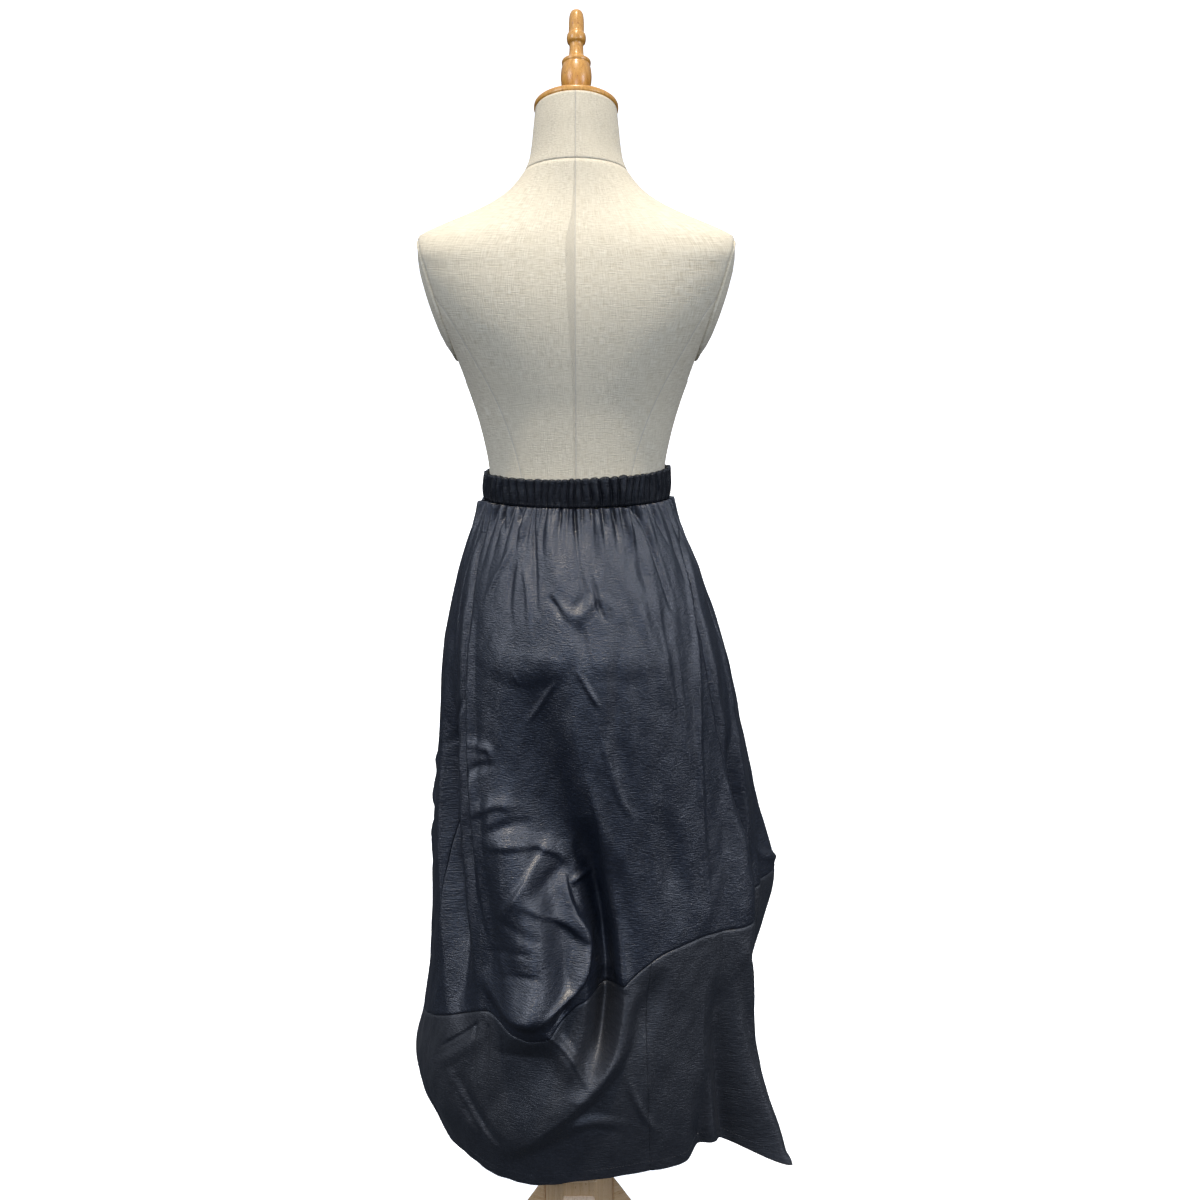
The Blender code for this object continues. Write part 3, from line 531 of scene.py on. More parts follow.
cap_beech = beech("varnished_beech", "#D9A148", "#BC802C", "#94581F", along="Z", roughness=0.34, varnish=0.45)
neck_top = NECK_SECTIONS[-1]
neck_lean = math.radians(neck_top.tilt)
neck_seat = Vector((AXIS_X, AXIS_Y + neck_top.shift, WAIST_Z + neck_top.drop))
neck_normal = Vector((0, math.sin(neck_lean), math.cos(neck_lean)))
for name, profile, rise, node in (
    ("cap_disc", CAP_PROFILE, SEAM_GAP, "neck_cap_disc"),
    ("cap_finial", FINIAL_PROFILE, 2 * SEAM_GAP + CAP_PROFILE[-1][0] / 1000, "neck_cap_finial"),
):
    piece = turned(name, smooth_profile(profile, 5), cap_beech)
    piece.rotation_euler = (-neck_lean, 0, 0)
    piece.location = neck_seat + rise * neck_normal
    stand_for(settle(piece), "varnished_wood", node)


# SATIN. Polyester satin in blue-black: smooth long floats catch the light, and thicker weft threads cross it
# as fine level slubs, drawn coarser than real so that they show. The upper panels show its glossy face and
# the hem band its duller one. The waistband's tight pleats use the same satin in darker colours: painted
# shade.
SLUB_RUN = 0.0060
SLUB_WIDTH = 0.0017
SLUB_RISE = 0.0009
RUMPLE_SIZE = 0.016
RUMPLE_RISE = 0.0016
ARC_PER_DEGREE = 0.0031


def satin(name, floats, slub, roughness, sheen, gloss):
    """Satin from the colour of its floats, which shine on slopes that face the light, and of its slubs."""
    made, tree, shader = new_material(name)
    place = add_node(tree, "ShaderNodeUVMap", {}, uv_map="cloth").outputs[0]
    slub_place = add_node(
        tree, "ShaderNodeMapping", {"Vector": place, "Scale": (SLUB_RUN, SLUB_WIDTH, 1)},
        vector_type="TEXTURE",
    )
    slubs = add_node(
        tree, "ShaderNodeTexNoise",
        {"Vector": slub_place.outputs[0], "Scale": 1.0, "Detail": 3.0, "Roughness": 0.65, "Distortion": 0.3},
    ).outputs["Fac"]
    rumple = add_node(
        tree, "ShaderNodeTexNoise",
        {"Vector": place, "Scale": 1 / RUMPLE_SIZE, "Detail": 3.0, "Roughness": 0.5, "Distortion": 0.4},
    ).outputs["Fac"]
    raised = add_node(
        tree, "ShaderNodeMapRange", {"Value": slubs, "From Min": 0.35, "From Max": 0.70}
    ).outputs[0]
    shade = blend_colours(tree, raised, colour(floats), colour(slub))
    tree.links.new(shade, shader.inputs["Base Color"])
    shader.inputs["Roughness"].default_value = roughness
    shader.inputs["Specular IOR Level"].default_value = gloss
    shader.inputs["Sheen Weight"].default_value = sheen
    shader.inputs["Sheen Roughness"].default_value = 0.45
    shader.inputs["Sheen Tint"].default_value = colour("#C9D2E0")
    thread = add_node(tree, "ShaderNodeBump", {"Height": slubs, "Distance": SLUB_RISE, "Strength": 1.0})
    soft = add_node(
        tree, "ShaderNodeBump",
        {"Height": rumple, "Distance": RUMPLE_RISE, "Strength": 0.5, "Normal": thread.outputs["Normal"]},
    )
    tree.links.new(soft.outputs["Normal"], shader.inputs["Normal"])
    return made


glossy_satin = satin("satin_face", "#0B0F17", "#1A212E", roughness=0.38, sheen=0.0, gloss=0.92)
dull_satin = satin("satin_reverse", "#181A1F", "#292C31", roughness=0.44, sheen=0.02, gloss=0.75)
# The same satin in darker colours and with less gloss: the darker colours are painted shade on the waistband
band_satin_painted_shade = satin("satin_band_painted_shade", "#07090D", "#12161D", roughness=0.36, sheen=0.0, gloss=0.40)


# SKIRT SHAPE. The skirt hangs in a rounded tube from the gathers of the waistband. Its balloon hem drags it
# to one side, so it lies in one big roll with a deep valley beside it, and in many small pulled creases.
Section = namedtuple("Section", "drop left right back front")
SKIRT_SECTIONS = (
    Section(-0.020, 0.1118, 0.1123, 0.0866, 0.0892),
    Section(-0.034, 0.1180, 0.1185, 0.0915, 0.0945),
    Section(-0.050, 0.1248, 0.1253, 0.0985, 0.0998),
    Section(-0.070, 0.1325, 0.1335, 0.1080, 0.1050),
    Section(-0.100, 0.1430, 0.1465, 0.1205, 0.1120),
    Section(-0.150, 0.1555, 0.1640, 0.1370, 0.1240),
    Section(-0.205, 0.1645, 0.1815, 0.1490, 0.1340),
    Section(-0.267, 0.1705, 0.1950, 0.1530, 0.1440),
    Section(-0.330, 0.1755, 0.2075, 0.1530, 0.1520),
    Section(-0.400, 0.1815, 0.2190, 0.1530, 0.1600),
    Section(-0.460, 0.1850, 0.2280, 0.1550, 0.1660),
    Section(-0.520, 0.1870, 0.2350, 0.1600, 0.1730),
    Section(-0.580, 0.1895, 0.2320, 0.1650, 0.1790),
    Section(-0.640, 0.1940, 0.2235, 0.1680, 0.1840),
    Section(-0.690, 0.2025, 0.2220, 0.1700, 0.1870),
    Section(-0.744, 0.2110, 0.2275, 0.1690, 0.1860),
    Section(-0.785, 0.2070, 0.2320, 0.1660, 0.1800),
    Section(-0.835, 0.1860, 0.2360, 0.1590, 0.1680),
    Section(-0.900, 0.1600, 0.2380, 0.1500, 0.1560),
)

# Each crease has the half-widths of its two flanks in millimetres, how sharp its crest is from 0 to 1, how
# far it leans to the right as a share of its height, and its path as (angle, drop in mm, lift in mm).
Crease = namedtuple("Crease", "name left right sharp lean path")
MAIN_FOLDS = (
    Crease("left side valley", 32, 40, 0.1, 0, (
        (-80, -90, 0), (-72, -160, -5), (-69, -240, -9), (-67, -290, -14), (-66, -350, -31), (-62, -440, -40),
        (-57, -530, -34), (-50, -630, -12), (-44, -680, 0))),
    Crease("hip hollow", 62, 46, 0, 0, (
        (-14, -188, 0), (-15, -240, -12), (-13, -310, -21), (-7, -385, -27), (1, -450, -27), (6, -520, -18),
        (8, -580, 0))),
    Crease("drape roll", 52, 42, 0.1, 0.3, (
        (-46, -290, 0), (-35, -380, 11), (-26, -450, 20), (-19, -520, 28), (-16, -590, 36), (-17, -622, 36),
        (-18, -650, 22), (-18, -680, 0))),
    Crease("deep valley", 24, 15, 0.1, 0, (
        (3, -380, 0), (6, -450, -20), (9, -530, -38), (10, -600, -43), (8, -655, -36), (4, -695, -16),
        (1, -730, 0))),
    Crease("tongue under the roll", 22, 16, 0.4, 0, ((-14, -625, 0), (-6, -665, 10), (1, -715, 0))),
    Crease("bowl crest", 60, 19, 0.3, 0.2, (
        (18, -590, 0), (14, -655, 10), (7, -700, 16), (-3, -745, 17), (-16, -790, 12), (-32, -830, 0))),
    Crease("right front ridge", 40, 24, 0.1, 0, (
        (84, -50, 0), (72, -140, 4), (68, -230, 7), (68, -330, 9), (65, -430, 12), (62, -545, 14),
        (63, -640, 19), (65, -740, 32), (67, -830, 56), (67, -900, 76))),
    Crease("right slit", 30, 26, 0.2, 0, (
        (72, -110, 0), (70, -180, -6), (69, -250, -9), (69, -300, -14), (69, -350, -26), (71, -420, -28),
        (74, -500, -12), (75, -560, 0))),
    Crease("right side valley", 24, 30, 0.1, 0, (
        (84, -400, 0), (84, -460, -10), (82, -540, -20), (83, -640, -24), (88, -740, -16), (90, -840, 0))),
    Crease("right side bulge", 40, 60, 0, 0, (
        (102, -200, 0), (104, -320, 8), (106, -430, 20), (106, -520, 34), (105, -600, 19), (104, -680, 0))),
    Crease("right panel dimple", 20, 20, 0, 0, ((29, -370, 0), (31, -450, -6), (33, -530, 0))),
    Crease("flare trough", 24, 20, 0.2, 0, (
        (50, -600, 0), (53, -700, -10), (54, -800, -14), (54, -890, -10))),
    Crease("flare shadow", 22, 22, 0, 0, ((26, -570, 0), (21, -630, -9), (16, -690, 0))),
    Crease("hem crease", 20, 12, 0.3, 0, ((46, -720, 0), (43, -790, -10), (41, -870, -14))),
    Crease("lower left crease", 18, 20, 0.2, 0, ((-46, -710, 0), (-40, -765, -6), (-30, -810, 0))),
    Crease("front hollow", 60, 60, 0, 0, (
        (170, -230, 0), (172, -340, -14), (182, -430, -18), (190, -520, 0))),
    Crease("front roll", 50, 30, 0.1, 0.2, (
        (152, -330, 0), (160, -430, 14), (168, -520, 24), (172, -600, 22), (172, -670, 0))),
    Crease("front valley", 28, 20, 0, 0, (
        (182, -420, 0), (186, -510, -20), (188, -600, -26), (186, -680, 0))),
    Crease("front bowl crest", 36, 22, 0.3, 0.2, (
        (196, -640, 0), (188, -710, 12), (176, -770, 11), (162, -830, 0))),
    Crease("front right ridge", 44, 34, 0.1, 0, (
        (138, -160, 0), (136, -320, 8), (134, -500, 12), (132, -700, 16), (130, -890, 22))),
    Crease("front left valley", 36, 30, 0.1, 0, (
        (232, -120, 0), (230, -280, -10), (226, -440, -15), (222, -600, -8), (220, -700, 0))),
    Crease("front left ridge", 40, 40, 0.1, 0, ((248, -600, 0), (246, -720, 10), (244, -880, 16))),
)
BACK_CREASES = (
    Crease("far left gather", 7, 6, 0.5, 0, (
        (-61, -21, -3), (-60, -60, -4), (-58, -100, -2), (-57, -120, 0))),
    Crease("left gather", 8, 7, 0.4, 0, ((-49, -21, -4), (-45, -38, -5), (-41, -54, 0))),
    Crease("second left gather", 6, 6, 0.4, 0, ((-37, -21, -4), (-33, -36, -3), (-29, -48, 0))),
    Crease("left gather line", 5, 8, 0.7, 0, (
        (-25, -21, -5), (-24, -48, -5), (-21, -80, -3), (-18, -126, -2), (-17, -142, 0))),
    Crease("middle notch", 4, 4, 0.6, 0, ((-9, -21, -4), (-9, -38, -2), (-9, -46, 0))),
    Crease("middle gather line", 5, 5, 0.7, 0, (
        (-1, -21, -5), (0, -48, -5), (1, -75, -2), (3, -104, -2), (5, -120, 0))),
    Crease("right short line", 4, 4, 0.7, 0, ((22, -21, -5), (23, -44, -4), (23, -64, 0))),
    Crease("right gather line", 6, 12, 0.6, 0, (
        (35, -21, -6), (39, -36, -7), (42, -60, -7), (43, -88, -6), (44, -124, -4), (45, -150, 0))),
    Crease("right gather", 5, 5, 0.6, 0, ((52, -21, -4), (54, -46, -4), (56, -76, 0))),
    Crease("far right gather", 5, 6, 0.6, 0, ((62, -21, -4), (62, -60, -4), (60, -100, -2), (59, -120, 0))),
    Crease("right long trough", 6, 18, 0.6, 0, (
        (84, -21, -4), (76, -50, -7), (66, -90, -10), (62, -130, -12), (60, -192, -13), (59, -250, -12),
        (60, -306, -10), (61, -370, -7), (62, -430, 0))),
    Crease("left puff", 12, 12, 0, 0, ((-31, -26, 1), (-31, -40, 5.5), (-31, -64, 0))),
    Crease("middle puff", 16, 14, 0, 0, ((-15, -27, 2), (-14, -44, 5), (-11, -84, 3), (-7, -118, 0))),
    Crease("right puff", 18, 16, 0, 0, ((12, -26, 2), (12, -40, 6), (14, -72, 3), (16, -120, 0))),
    Crease("far right puff", 12, 12, 0, 0, ((29, -26, 2), (30, -40, 5.5), (32, -64, 0))),
    Crease("left hip streak", 8, 8, 0.5, 0, ((-33, -56, 0), (-38, -84, 2.5), (-43, -112, 2), (-46, -135, 0))),
    Crease("left hip hollow", 9, 9, 0, 0, ((-31, -70, 0), (-32, -100, -3), (-31, -135, -2), (-29, -160, 0))),
    Crease("left hip ridge", 7, 7, 0.5, 0, ((-27, -84, 0), (-23, -108, 2.5), (-21, -140, 2), (-20, -170, 0))),
    Crease("rim of the pocket", 11, 10, 0.4, 0, (
        (-12, -108, 0), (-9, -121, 1.6), (-5, -133, 2.1), (-1, -139, 2.4), (3, -136, 1.8), (6, -128, 1.8),
        (10, -120, 1.7), (14, -126, 1.2), (16, -138, 0))),
    Crease("pocket", 10, 9, 0.2, 0, ((5, -106, 0), (3, -122, -3), (0, -130, -1.5), (-1, -134, 0))),
    Crease("dimple left of the pocket", 6, 6, 0.3, 0, ((-13, -117, 0), (-9, -128, -4), (-5, -145, 0))),
    Crease("line right of the pocket", 7, 4, 0.7, 0, (
        (7, -92, 0), (9, -114, -4), (10, -130, -4.5), (13, -150, 0))),
    Crease("shade under the pocket", 12, 10, 0, 0, (
        (1, -146, 0), (2, -160, -3), (4, -190, -2), (5, -210, 0))),
    Crease("thin ridge right", 5, 5, 1, 0, ((0, -198, 0), (3, -214, 3), (6, -232, 3.5), (9, -248, 0))),
    Crease("thin ridge left", 5, 6, 1, 0, ((-7, -212, 0), (-11, -226, 3), (-17, -252, 3), (-22, -270, 0))),
    Crease("short tick", 5, 5, 1, 0, ((-27, -208, 0), (-25, -216, 1.8), (-24, -226, 0))),
    Crease("long tick", 7, 7, 0.6, 0, ((7, -252, 0), (10, -300, 2), (14, -355, 2.5), (20, -394, 0))),
    Crease("dark stripe", 13, 12, 0, 0, ((16, -168, 0), (15, -220, -3), (15, -300, -3), (20, -380, 0))),
    Crease("left slit", 16, 6, 0.6, 0, (
        (-64, -44, 0), (-60, -80, -5), (-57, -120, -7), (-55, -170, -8), (-54, -230, -9), (-51, -312, -9),
        (-47, -376, -8), (-44, -440, -6), (-41, -500, 0))),
    Crease("edge over the left valley", 9, 12, 0.8, -0.3, (
        (-53, -120, 0), (-51, -180, 3), (-49, -240, 5), (-46, -312, 6), (-42, -376, 6), (-39, -450, 6),
        (-36, -505, 4), (-32, -560, 0))),
    Crease("left strip notch", 8, 8, 0.4, 0, (
        (-76, -332, 0), (-66, -300, -4), (-58, -264, -3), (-55, -250, 0))),
    Crease("left strip ridge", 9, 9, 0.3, 0, (
        (-72, -110, 0), (-67, -180, 2.5), (-65, -250, 3), (-66, -300, 0))),
    Crease("edge of the right panel", 10, 6, 0.8, 0.2, (
        (80, -22, 1), (70, -80, 2), (62, -112, 3), (55, -180, 4), (49, -260, 4), (46, -322, 3.5),
        (44, -400, 2.5), (44, -480, 1.5), (44, -540, 0))),
    Crease("right pleat", 4, 4, 0.8, 0, ((43, -140, 0), (42, -200, 1.2), (41, -270, 1.2), (40, -340, 0))),
    Crease("second right pleat", 4, 4, 0.8, 0, (
        (38, -110, 0), (37, -160, 1.2), (37, -230, 1.2), (37, -300, 0))),
    Crease("right strip ridge", 9, 8, 0.5, 0, (
        (90, -110, 0), (80, -190, 2.5), (77, -280, 3), (75, -380, 2), (72, -460, 0))),
    Crease("lower strip ridge", 6, 6, 0.6, 0, ((74, -300, 0), (72, -380, 2), (70, -470, 2), (68, -560, 0))),
    Crease("right hip sweep", 16, 16, 0, 0, ((18, -70, 0), (26, -120, 3), (32, -180, 3), (34, -250, 0))),
    Crease("right hip shade", 14, 14, 0, 0, ((27, -60, 0), (32, -90, -3), (36, -130, 0))),
    Crease("left facet edge", 8, 9, 0.6, 0, ((-48, -300, 0), (-42, -303, 2), (-36, -306, 3), (-35, -334, 0))),
    Crease("left facet", 10, 8, 0.4, 0, ((-47, -345, 0), (-42, -328, -3), (-36, -322, -2), (-33, -318, 0))),
    Crease("rim of the roll", 9, 16, 0.7, 0, (
        (-44, -392, 0), (-38, -378, 2.5), (-31, -368, 3.5), (-25, -372, 2))),
    Crease("hollow under the rim", 9, 12, 0.3, 0, (
        (-37, -412, 0), (-31, -398, -3.5), (-24, -392, -4), (-18, -396, 0))),
    Crease("upper roll edge", 9, 18, 0.8, 0, (
        (-36, -424, 0), (-28, -416, 3.5), (-16, -418, 5), (-8, -430, 4), (-4, -448, 0))),
    Crease("first bright facet", 7, 24, 0.8, 0, (
        (-11, -414, 0), (-14, -430, 5), (-20, -462, 7), (-26, -488, 4), (-29, -506, 0))),
    Crease("dark facet", 16, 14, 0.3, 0, (
        (-17, -480, 0), (-12, -464, -5), (-8, -452, -4), (-5, -440, 0))),
    Crease("second bright facet", 10, 26, 0.8, 0, (
        (-22, -478, 0), (-13, -494, 6), (-3, -514, 8), (2, -530, 5), (5, -538, 0))),
    Crease("shade on the roll", 8, 12, 0.3, 0, (
        (-32, -510, 0), (-24, -514, -1.5), (-14, -526, -1.5), (-8, -536, 0))),
    Crease("pulled line", 6, 9, 0.8, 0, ((-36, -560, 0), (-29, -550, -2), (-22, -541, -2), (-15, -542, 0))),
    Crease("second pulled line", 5, 8, 0.8, 0, (
        (-31, -586, 0), (-24, -572, -2), (-17, -566, -2), (-12, -570, 0))),
    Crease("fan of the roll", 10, 16, 0.8, 0, (
        (-30, -536, 0), (-27, -566, 2.5), (-25, -592, 2), (-24, -612, 0))),
    Crease("lower lump", 20, 48, 0.3, 0, (
        (-38, -584, 0), (-30, -604, 9), (-20, -616, 15), (-10, -606, 13), (-1, -586, 0))),
    Crease("bright corner", 7, 7, 0.9, 0, ((-18, -636, 0), (-12, -616, 5), (-5, -599, 6), (-2, -590, 0))),
    Crease("nick under the corner", 5, 5, 0.5, 0, ((-12, -640, 0), (-6, -622, -5), (-3, -606, 0))),
    Crease("ridge of the tongue", 6, 6, 0.9, 0, (
        (-12, -640, 0), (-8, -648, 5), (-2, -672, 6), (1, -700, 3), (3, -720, 0))),
    Crease("lump in the valley", 6, 6, 0.3, 0, ((-3, -470, 0), (0, -464, 5), (3, -461, 5), (5, -463, 0))),
    Crease("edge right of the valley", 5, 14, 0.8, -0.3, (
        (3, -322, 0), (6, -366, 4), (8, -406, 6), (10, -470, 8), (12, -520, 8), (13, -574, 7),
        (15, -600, 0))),
    Crease("edge of the roll", 15, 7, 0.8, 0.5, (
        (-6, -444, 0), (-4, -478, 6), (-1, -502, 8), (3, -526, 10), (3, -556, 10), (0, -586, 9),
        (-6, -608, 5), (-11, -634, 0))),
    Crease("edge over the hollow", 22, 34, 0.1, 0, (
        (-48, -180, 0), (-38, -196, 1.8), (-28, -205, 2.6), (-18, -207, 3), (-8, -199, 3), (-3, -188, 2),
        (2, -197, 1.5), (12, -191, 2.5), (20, -199, 2), (30, -193, 1.5), (38, -206, 0))),
    Crease("left dart", 4, 4, 1, 0, ((-59, -708, 0), (-52, -690, -2.6), (-44, -668, -3), (-36, -645, 0))),
    Crease("swell below the dart", 14, 9, 0.2, 0, ((-58, -728, 0), (-48, -700, 3), (-38, -668, 0))),
    Crease("low pleat", 4, 4, 0.8, 0, ((-40, -655, -2), (-39, -690, -2), (-38, -740, 0))),
    Crease("second low pleat", 4, 4, 0.8, 0, ((-34, -652, -2.5), (-33, -700, -2), (-32, -752, 0))),
    Crease("third low pleat", 4, 4, 0.8, 0, ((-27, -658, -2), (-26, -700, -1.5), (-25, -745, 0))),
    Crease("low left ridge", 10, 8, 0.4, 0, ((-50, -722, 0), (-42, -760, 3), (-34, -798, 3), (-27, -822, 0))),
    Crease("hump at the hem", 12, 12, 0.1, 0, ((-20, -812, 0), (-8, -785, 3), (4, -764, 4), (16, -774, 0))),
    Crease("fold of the recess", 7, 7, 0.7, 0, ((15, -690, 0), (18, -735, 3), (21, -762, 3), (25, -790, 0))),
    Crease("second fold of the recess", 7, 7, 0.6, 0, ((24, -672, 0), (23, -715, 2.5), (21, -750, 0))),
    Crease("fine line of the flare", 4, 4, 1, 0, ((44, -600, 0), (44, -680, 2), (44, -780, 0))),
    Crease("lit strip of the flare", 14, 6, 0.8, 0, (
        (58, -556, 0), (64, -620, 6), (68, -690, 8), (71, -760, 8), (73, -840, 8), (74, -900, 7))),
    Crease("shade beside the strip", 10, 8, 0.2, 0, (
        (58, -600, 0), (63, -680, -4), (66, -760, -5), (68, -850, -4))),
)
FRONT_TURN = 184
FRONT_SHARE = 0.7
SIDE_CREASES = (
    Crease("left side ridge", 14, 12, 0.3, 0, (
        (262, -60, 0), (264, -160, 3), (262, -300, 4), (258, -460, 3), (256, -600, 0))),
    Crease("left side trough", 12, 14, 0.3, 0, (
        (274, -140, 0), (276, -260, -4), (273, -400, -6), (270, -560, -3), (268, -660, 0))),
    Crease("left side pull", 9, 9, 0.5, 0, ((250, -330, 0), (262, -370, 3), (274, -430, 4), (282, -500, 0))),
    Crease("left side low fold", 14, 14, 0.2, 0, ((272, -690, 0), (270, -760, 4), (268, -850, 5))),
    Crease("right side crease", 10, 10, 0.4, 0, (
        (96, -60, 0), (98, -160, 3), (100, -260, 3), (104, -360, 0))),
    Crease("right side pull", 9, 9, 0.5, 0, ((90, -470, 0), (100, -500, 4), (114, -520, 3), (126, -560, 0))),
    Crease("right side low fold", 12, 14, 0.3, 0, ((112, -640, 0), (114, -730, 5), (116, -850, 7))),
    Crease("right side low trough", 12, 12, 0.2, 0, ((100, -660, 0), (101, -750, -5), (102, -850, -6))),
)
CREST_ROUND = 1.3
PATH_STEPS = 5
RUMPLE_WAVES = 16
RUMPLE_LIFT = 0.0005


def front_copy(crease):
    """The same small crease on the front of the skirt, lower and with its path turned half way round."""
    path = tuple((angle + FRONT_TURN, drop, FRONT_SHARE * lift) for angle, drop, lift in crease.path)
    return crease._replace(name="front " + crease.name, path=path)


ALL_CREASES = MAIN_FOLDS + BACK_CREASES + tuple(front_copy(c) for c in BACK_CREASES) + SIDE_CREASES


def crest_shape(share, sharp, width):
    """A crease's cross-section, 1 at its crest and 0 at its foot: a rounded roll, or a pinched crest."""
    share = np.clip(share, 0.0, 1.0)
    blunt = CREST_ROUND / width
    pinched = 1 - (np.sqrt(share**2 + blunt**2) - blunt) / (np.sqrt(1 + blunt**2) - blunt)
    return (1 - sharp) * (1 - share**2) ** 2 + sharp * pinched**2


def crease_lift(crease, angle, drop):
    """The lift of one crease at every point of the grid, in metres."""
    angles, drops, lifts = np.array(crease.path, float).T
    knots = np.arange(len(angles), dtype=float)
    fine = np.linspace(0, len(angles) - 1, PATH_STEPS * (len(angles) - 1) + 1)
    line_across = smooth_through(fine, knots, angles * ARC_PER_DEGREE)
    line_drop = smooth_through(fine, knots, drops / 1000)
    line_lift = smooth_through(fine, knots, lifts / 1000)
    middle = angles.mean()
    across = (middle + (angle - middle + 180) % 360 - 180) * ARC_PER_DEGREE
    reach = max(crease.left, crease.right) / 1000
    near = (
        (across > line_across.min() - reach) & (across < line_across.max() + reach)
        & (drop > line_drop.min() - reach) & (drop < line_drop.max() + reach)
    )
    lift = np.zeros(drop.shape)
    if not near.any():
        return lift
    across, down = across[near], drop[near]
    nearest = np.full(across.shape, np.inf)
    risen = np.zeros(across.shape)
    for k in range(len(fine) - 1):
        run_across, run_drop = line_across[k + 1] - line_across[k], line_drop[k + 1] - line_drop[k]
        off_across, off_drop = across - line_across[k], down - line_drop[k]
        t = (off_across * run_across + off_drop * run_drop) / (run_across**2 + run_drop**2)
        t = np.clip(t, 0.0, 1.0)
        distance = np.hypot(off_across - t * run_across, off_drop - t * run_drop)
        on_right = run_across * off_drop - run_drop * off_across > 0
        width = np.where(on_right, crease.right, crease.left) / 1000
        depth = line_lift[k] + t * (line_lift[k + 1] - line_lift[k])
        rise = depth * crest_shape(distance / width, crease.sharp, width * 1000)
        risen = np.where(distance < nearest, rise, risen)
        nearest = np.minimum(distance, nearest)
    lift[near] = risen
    return lift


# WAISTBAND. A wide elastic drawn through a casing of the same satin. It pinches the casing into narrow
# upright gathers, crowded in some places and drawn out in others. The skirt hangs from its lower edge.
BAND_TOP = 0.0125
BAND_TOP_TILT = 0.0034
BAND_FOOT = -0.0205
BAND_FOOT_TILT = 0.0008
BAND_CLEAR = 0.0008
BAND_THICK = 0.0034
BAND_STEP = 0.375
BAND_ROWS = 17
BACK_PINCHES = (
    -88, -81, -73, -66, -59, -53, -47, -40, -33, -27, -22, -18, -13.5, -9.5, -5,
    -1, 3.5, 9, 15, 22, 27, 33, 38, 43, 48, 53, 60, 68, 77, 85,
)
FRONT_SPACINGS = [2.6, 3.4, 4.2, 5.5, 8.0]
FRONT_CHANCES = [0.2, 0.3, 0.25, 0.15, 0.1]
FRONT_ENDS = 264
PINCH_SEED = 7
WAIST_PER_DEGREE = 0.0020
PUFF_STEEP = 0.44
PUFF_MOST = 0.0050
PUFF_SQUARE = 2.2
PLEAT_WANDER = 0.7
SWELL_AT_EDGES = 0.55
SWELL_BETWEEN = 0.6
RUFFLE_SHARE = 0.25
RUFFLE_OUT = 0.0006
RUFFLE_UP = 0.0016
RUFFLE_PUFF = 0.003


def all_pinches():
    """Where the elastic pinches the cloth: as seen on the back, and at random on the front."""
    chance = np.random.default_rng(PINCH_SEED)
    pinches = list(BACK_PINCHES)
    while pinches[-1] < FRONT_ENDS:
        pinches.append(pinches[-1] + chance.choice(FRONT_SPACINGS, p=FRONT_CHANCES))
    pinches[-1] = 360 + BACK_PINCHES[0]
    return np.array(pinches)


PINCHES = all_pinches()
PUFF_SHARES = np.random.default_rng(PINCH_SEED + 1).uniform(0.4, 1.3, len(PINCHES))


def puff_height(angle, wander=0.0):
    """The cloth's swell between two pinches, and the distance between them along the waist."""
    turned_angle = (np.asarray(angle) + wander - PINCHES[0]) % 360 + PINCHES[0]
    k = np.clip(np.searchsorted(PINCHES, turned_angle, side="right") - 1, 0, len(PINCHES) - 2)
    gap = PINCHES[k + 1] - PINCHES[k]
    share = (turned_angle - PINCHES[k]) / gap
    width = gap * WAIST_PER_DEGREE
    height = np.minimum(PUFF_STEEP * width, PUFF_MOST) * PUFF_SHARES[k]
    return height * (1 - np.abs(2 * share - 1) ** PUFF_SQUARE), width


def around(angle, right, left, back, front):
    """Place, outward direction and direction of growing angle on an oval whose four half-widths differ."""
    turn = np.radians(angle)
    side = np.where(np.sin(turn) > 0, right, left)
    depth = np.where(np.cos(turn) > 0, back, front)
    x, y = side * np.sin(turn), -depth * np.cos(turn)
    out = np.stack([np.sin(turn) / side, -np.cos(turn) / depth, 0 * turn], -1)
    on = np.stack([side * np.cos(turn), depth * np.sin(turn), 0 * turn], -1)
    out /= np.linalg.norm(out, axis=-1, keepdims=True)
    on /= np.linalg.norm(on, axis=-1, keepdims=True)
    return x, y, out, on


def band_foot(angle):
    return BAND_FOOT + BAND_FOOT_TILT * np.sin(np.radians(angle))


def wall(name, outer, inner, closed, finish, node, across, down):
    """A cloth wall from a grid of outer points and one of inner points, with a rim all round."""
    rows, columns = outer.shape[:2]
    count = rows * columns
    index = np.arange(count).reshape(rows, columns)
    if closed:
        index = np.concatenate([index, index[:, :1]], 1)
    a, b, c, d = index[:-1, :-1], index[1:, :-1], index[1:, 1:], index[:-1, 1:]
    face_grids = [np.stack([a, b, c, d], -1), np.stack([a, d, c, b], -1) + count]
    faces = np.concatenate([grid.reshape(-1, 4) for grid in face_grids])
    top, foot = index[0], index[-1]
    rims = [
        np.stack([top[:-1], top[1:], top[1:] + count, top[:-1] + count], -1),
        np.stack([foot[:-1], foot[:-1] + count, foot[1:] + count, foot[1:]], -1),
    ]
    if not closed:
        first, last = index[:, 0], index[:, -1]
        rims.append(np.stack([first[:-1], first[:-1] + count, first[1:] + count, first[1:]], -1))
        rims.append(np.stack([last[:-1], last[1:], last[1:] + count, last[:-1] + count], -1))
    faces = np.concatenate([faces, *rims])
    points = np.concatenate([outer.reshape(-1, 3), inner.reshape(-1, 3)])
    obj = make_object(name, points, faces.tolist(), finish)
    set_cloth_map(obj, np.concatenate([across.ravel()] * 2), np.concatenate([down.ravel()] * 2))
    return stand_for(obj, "satin", node)


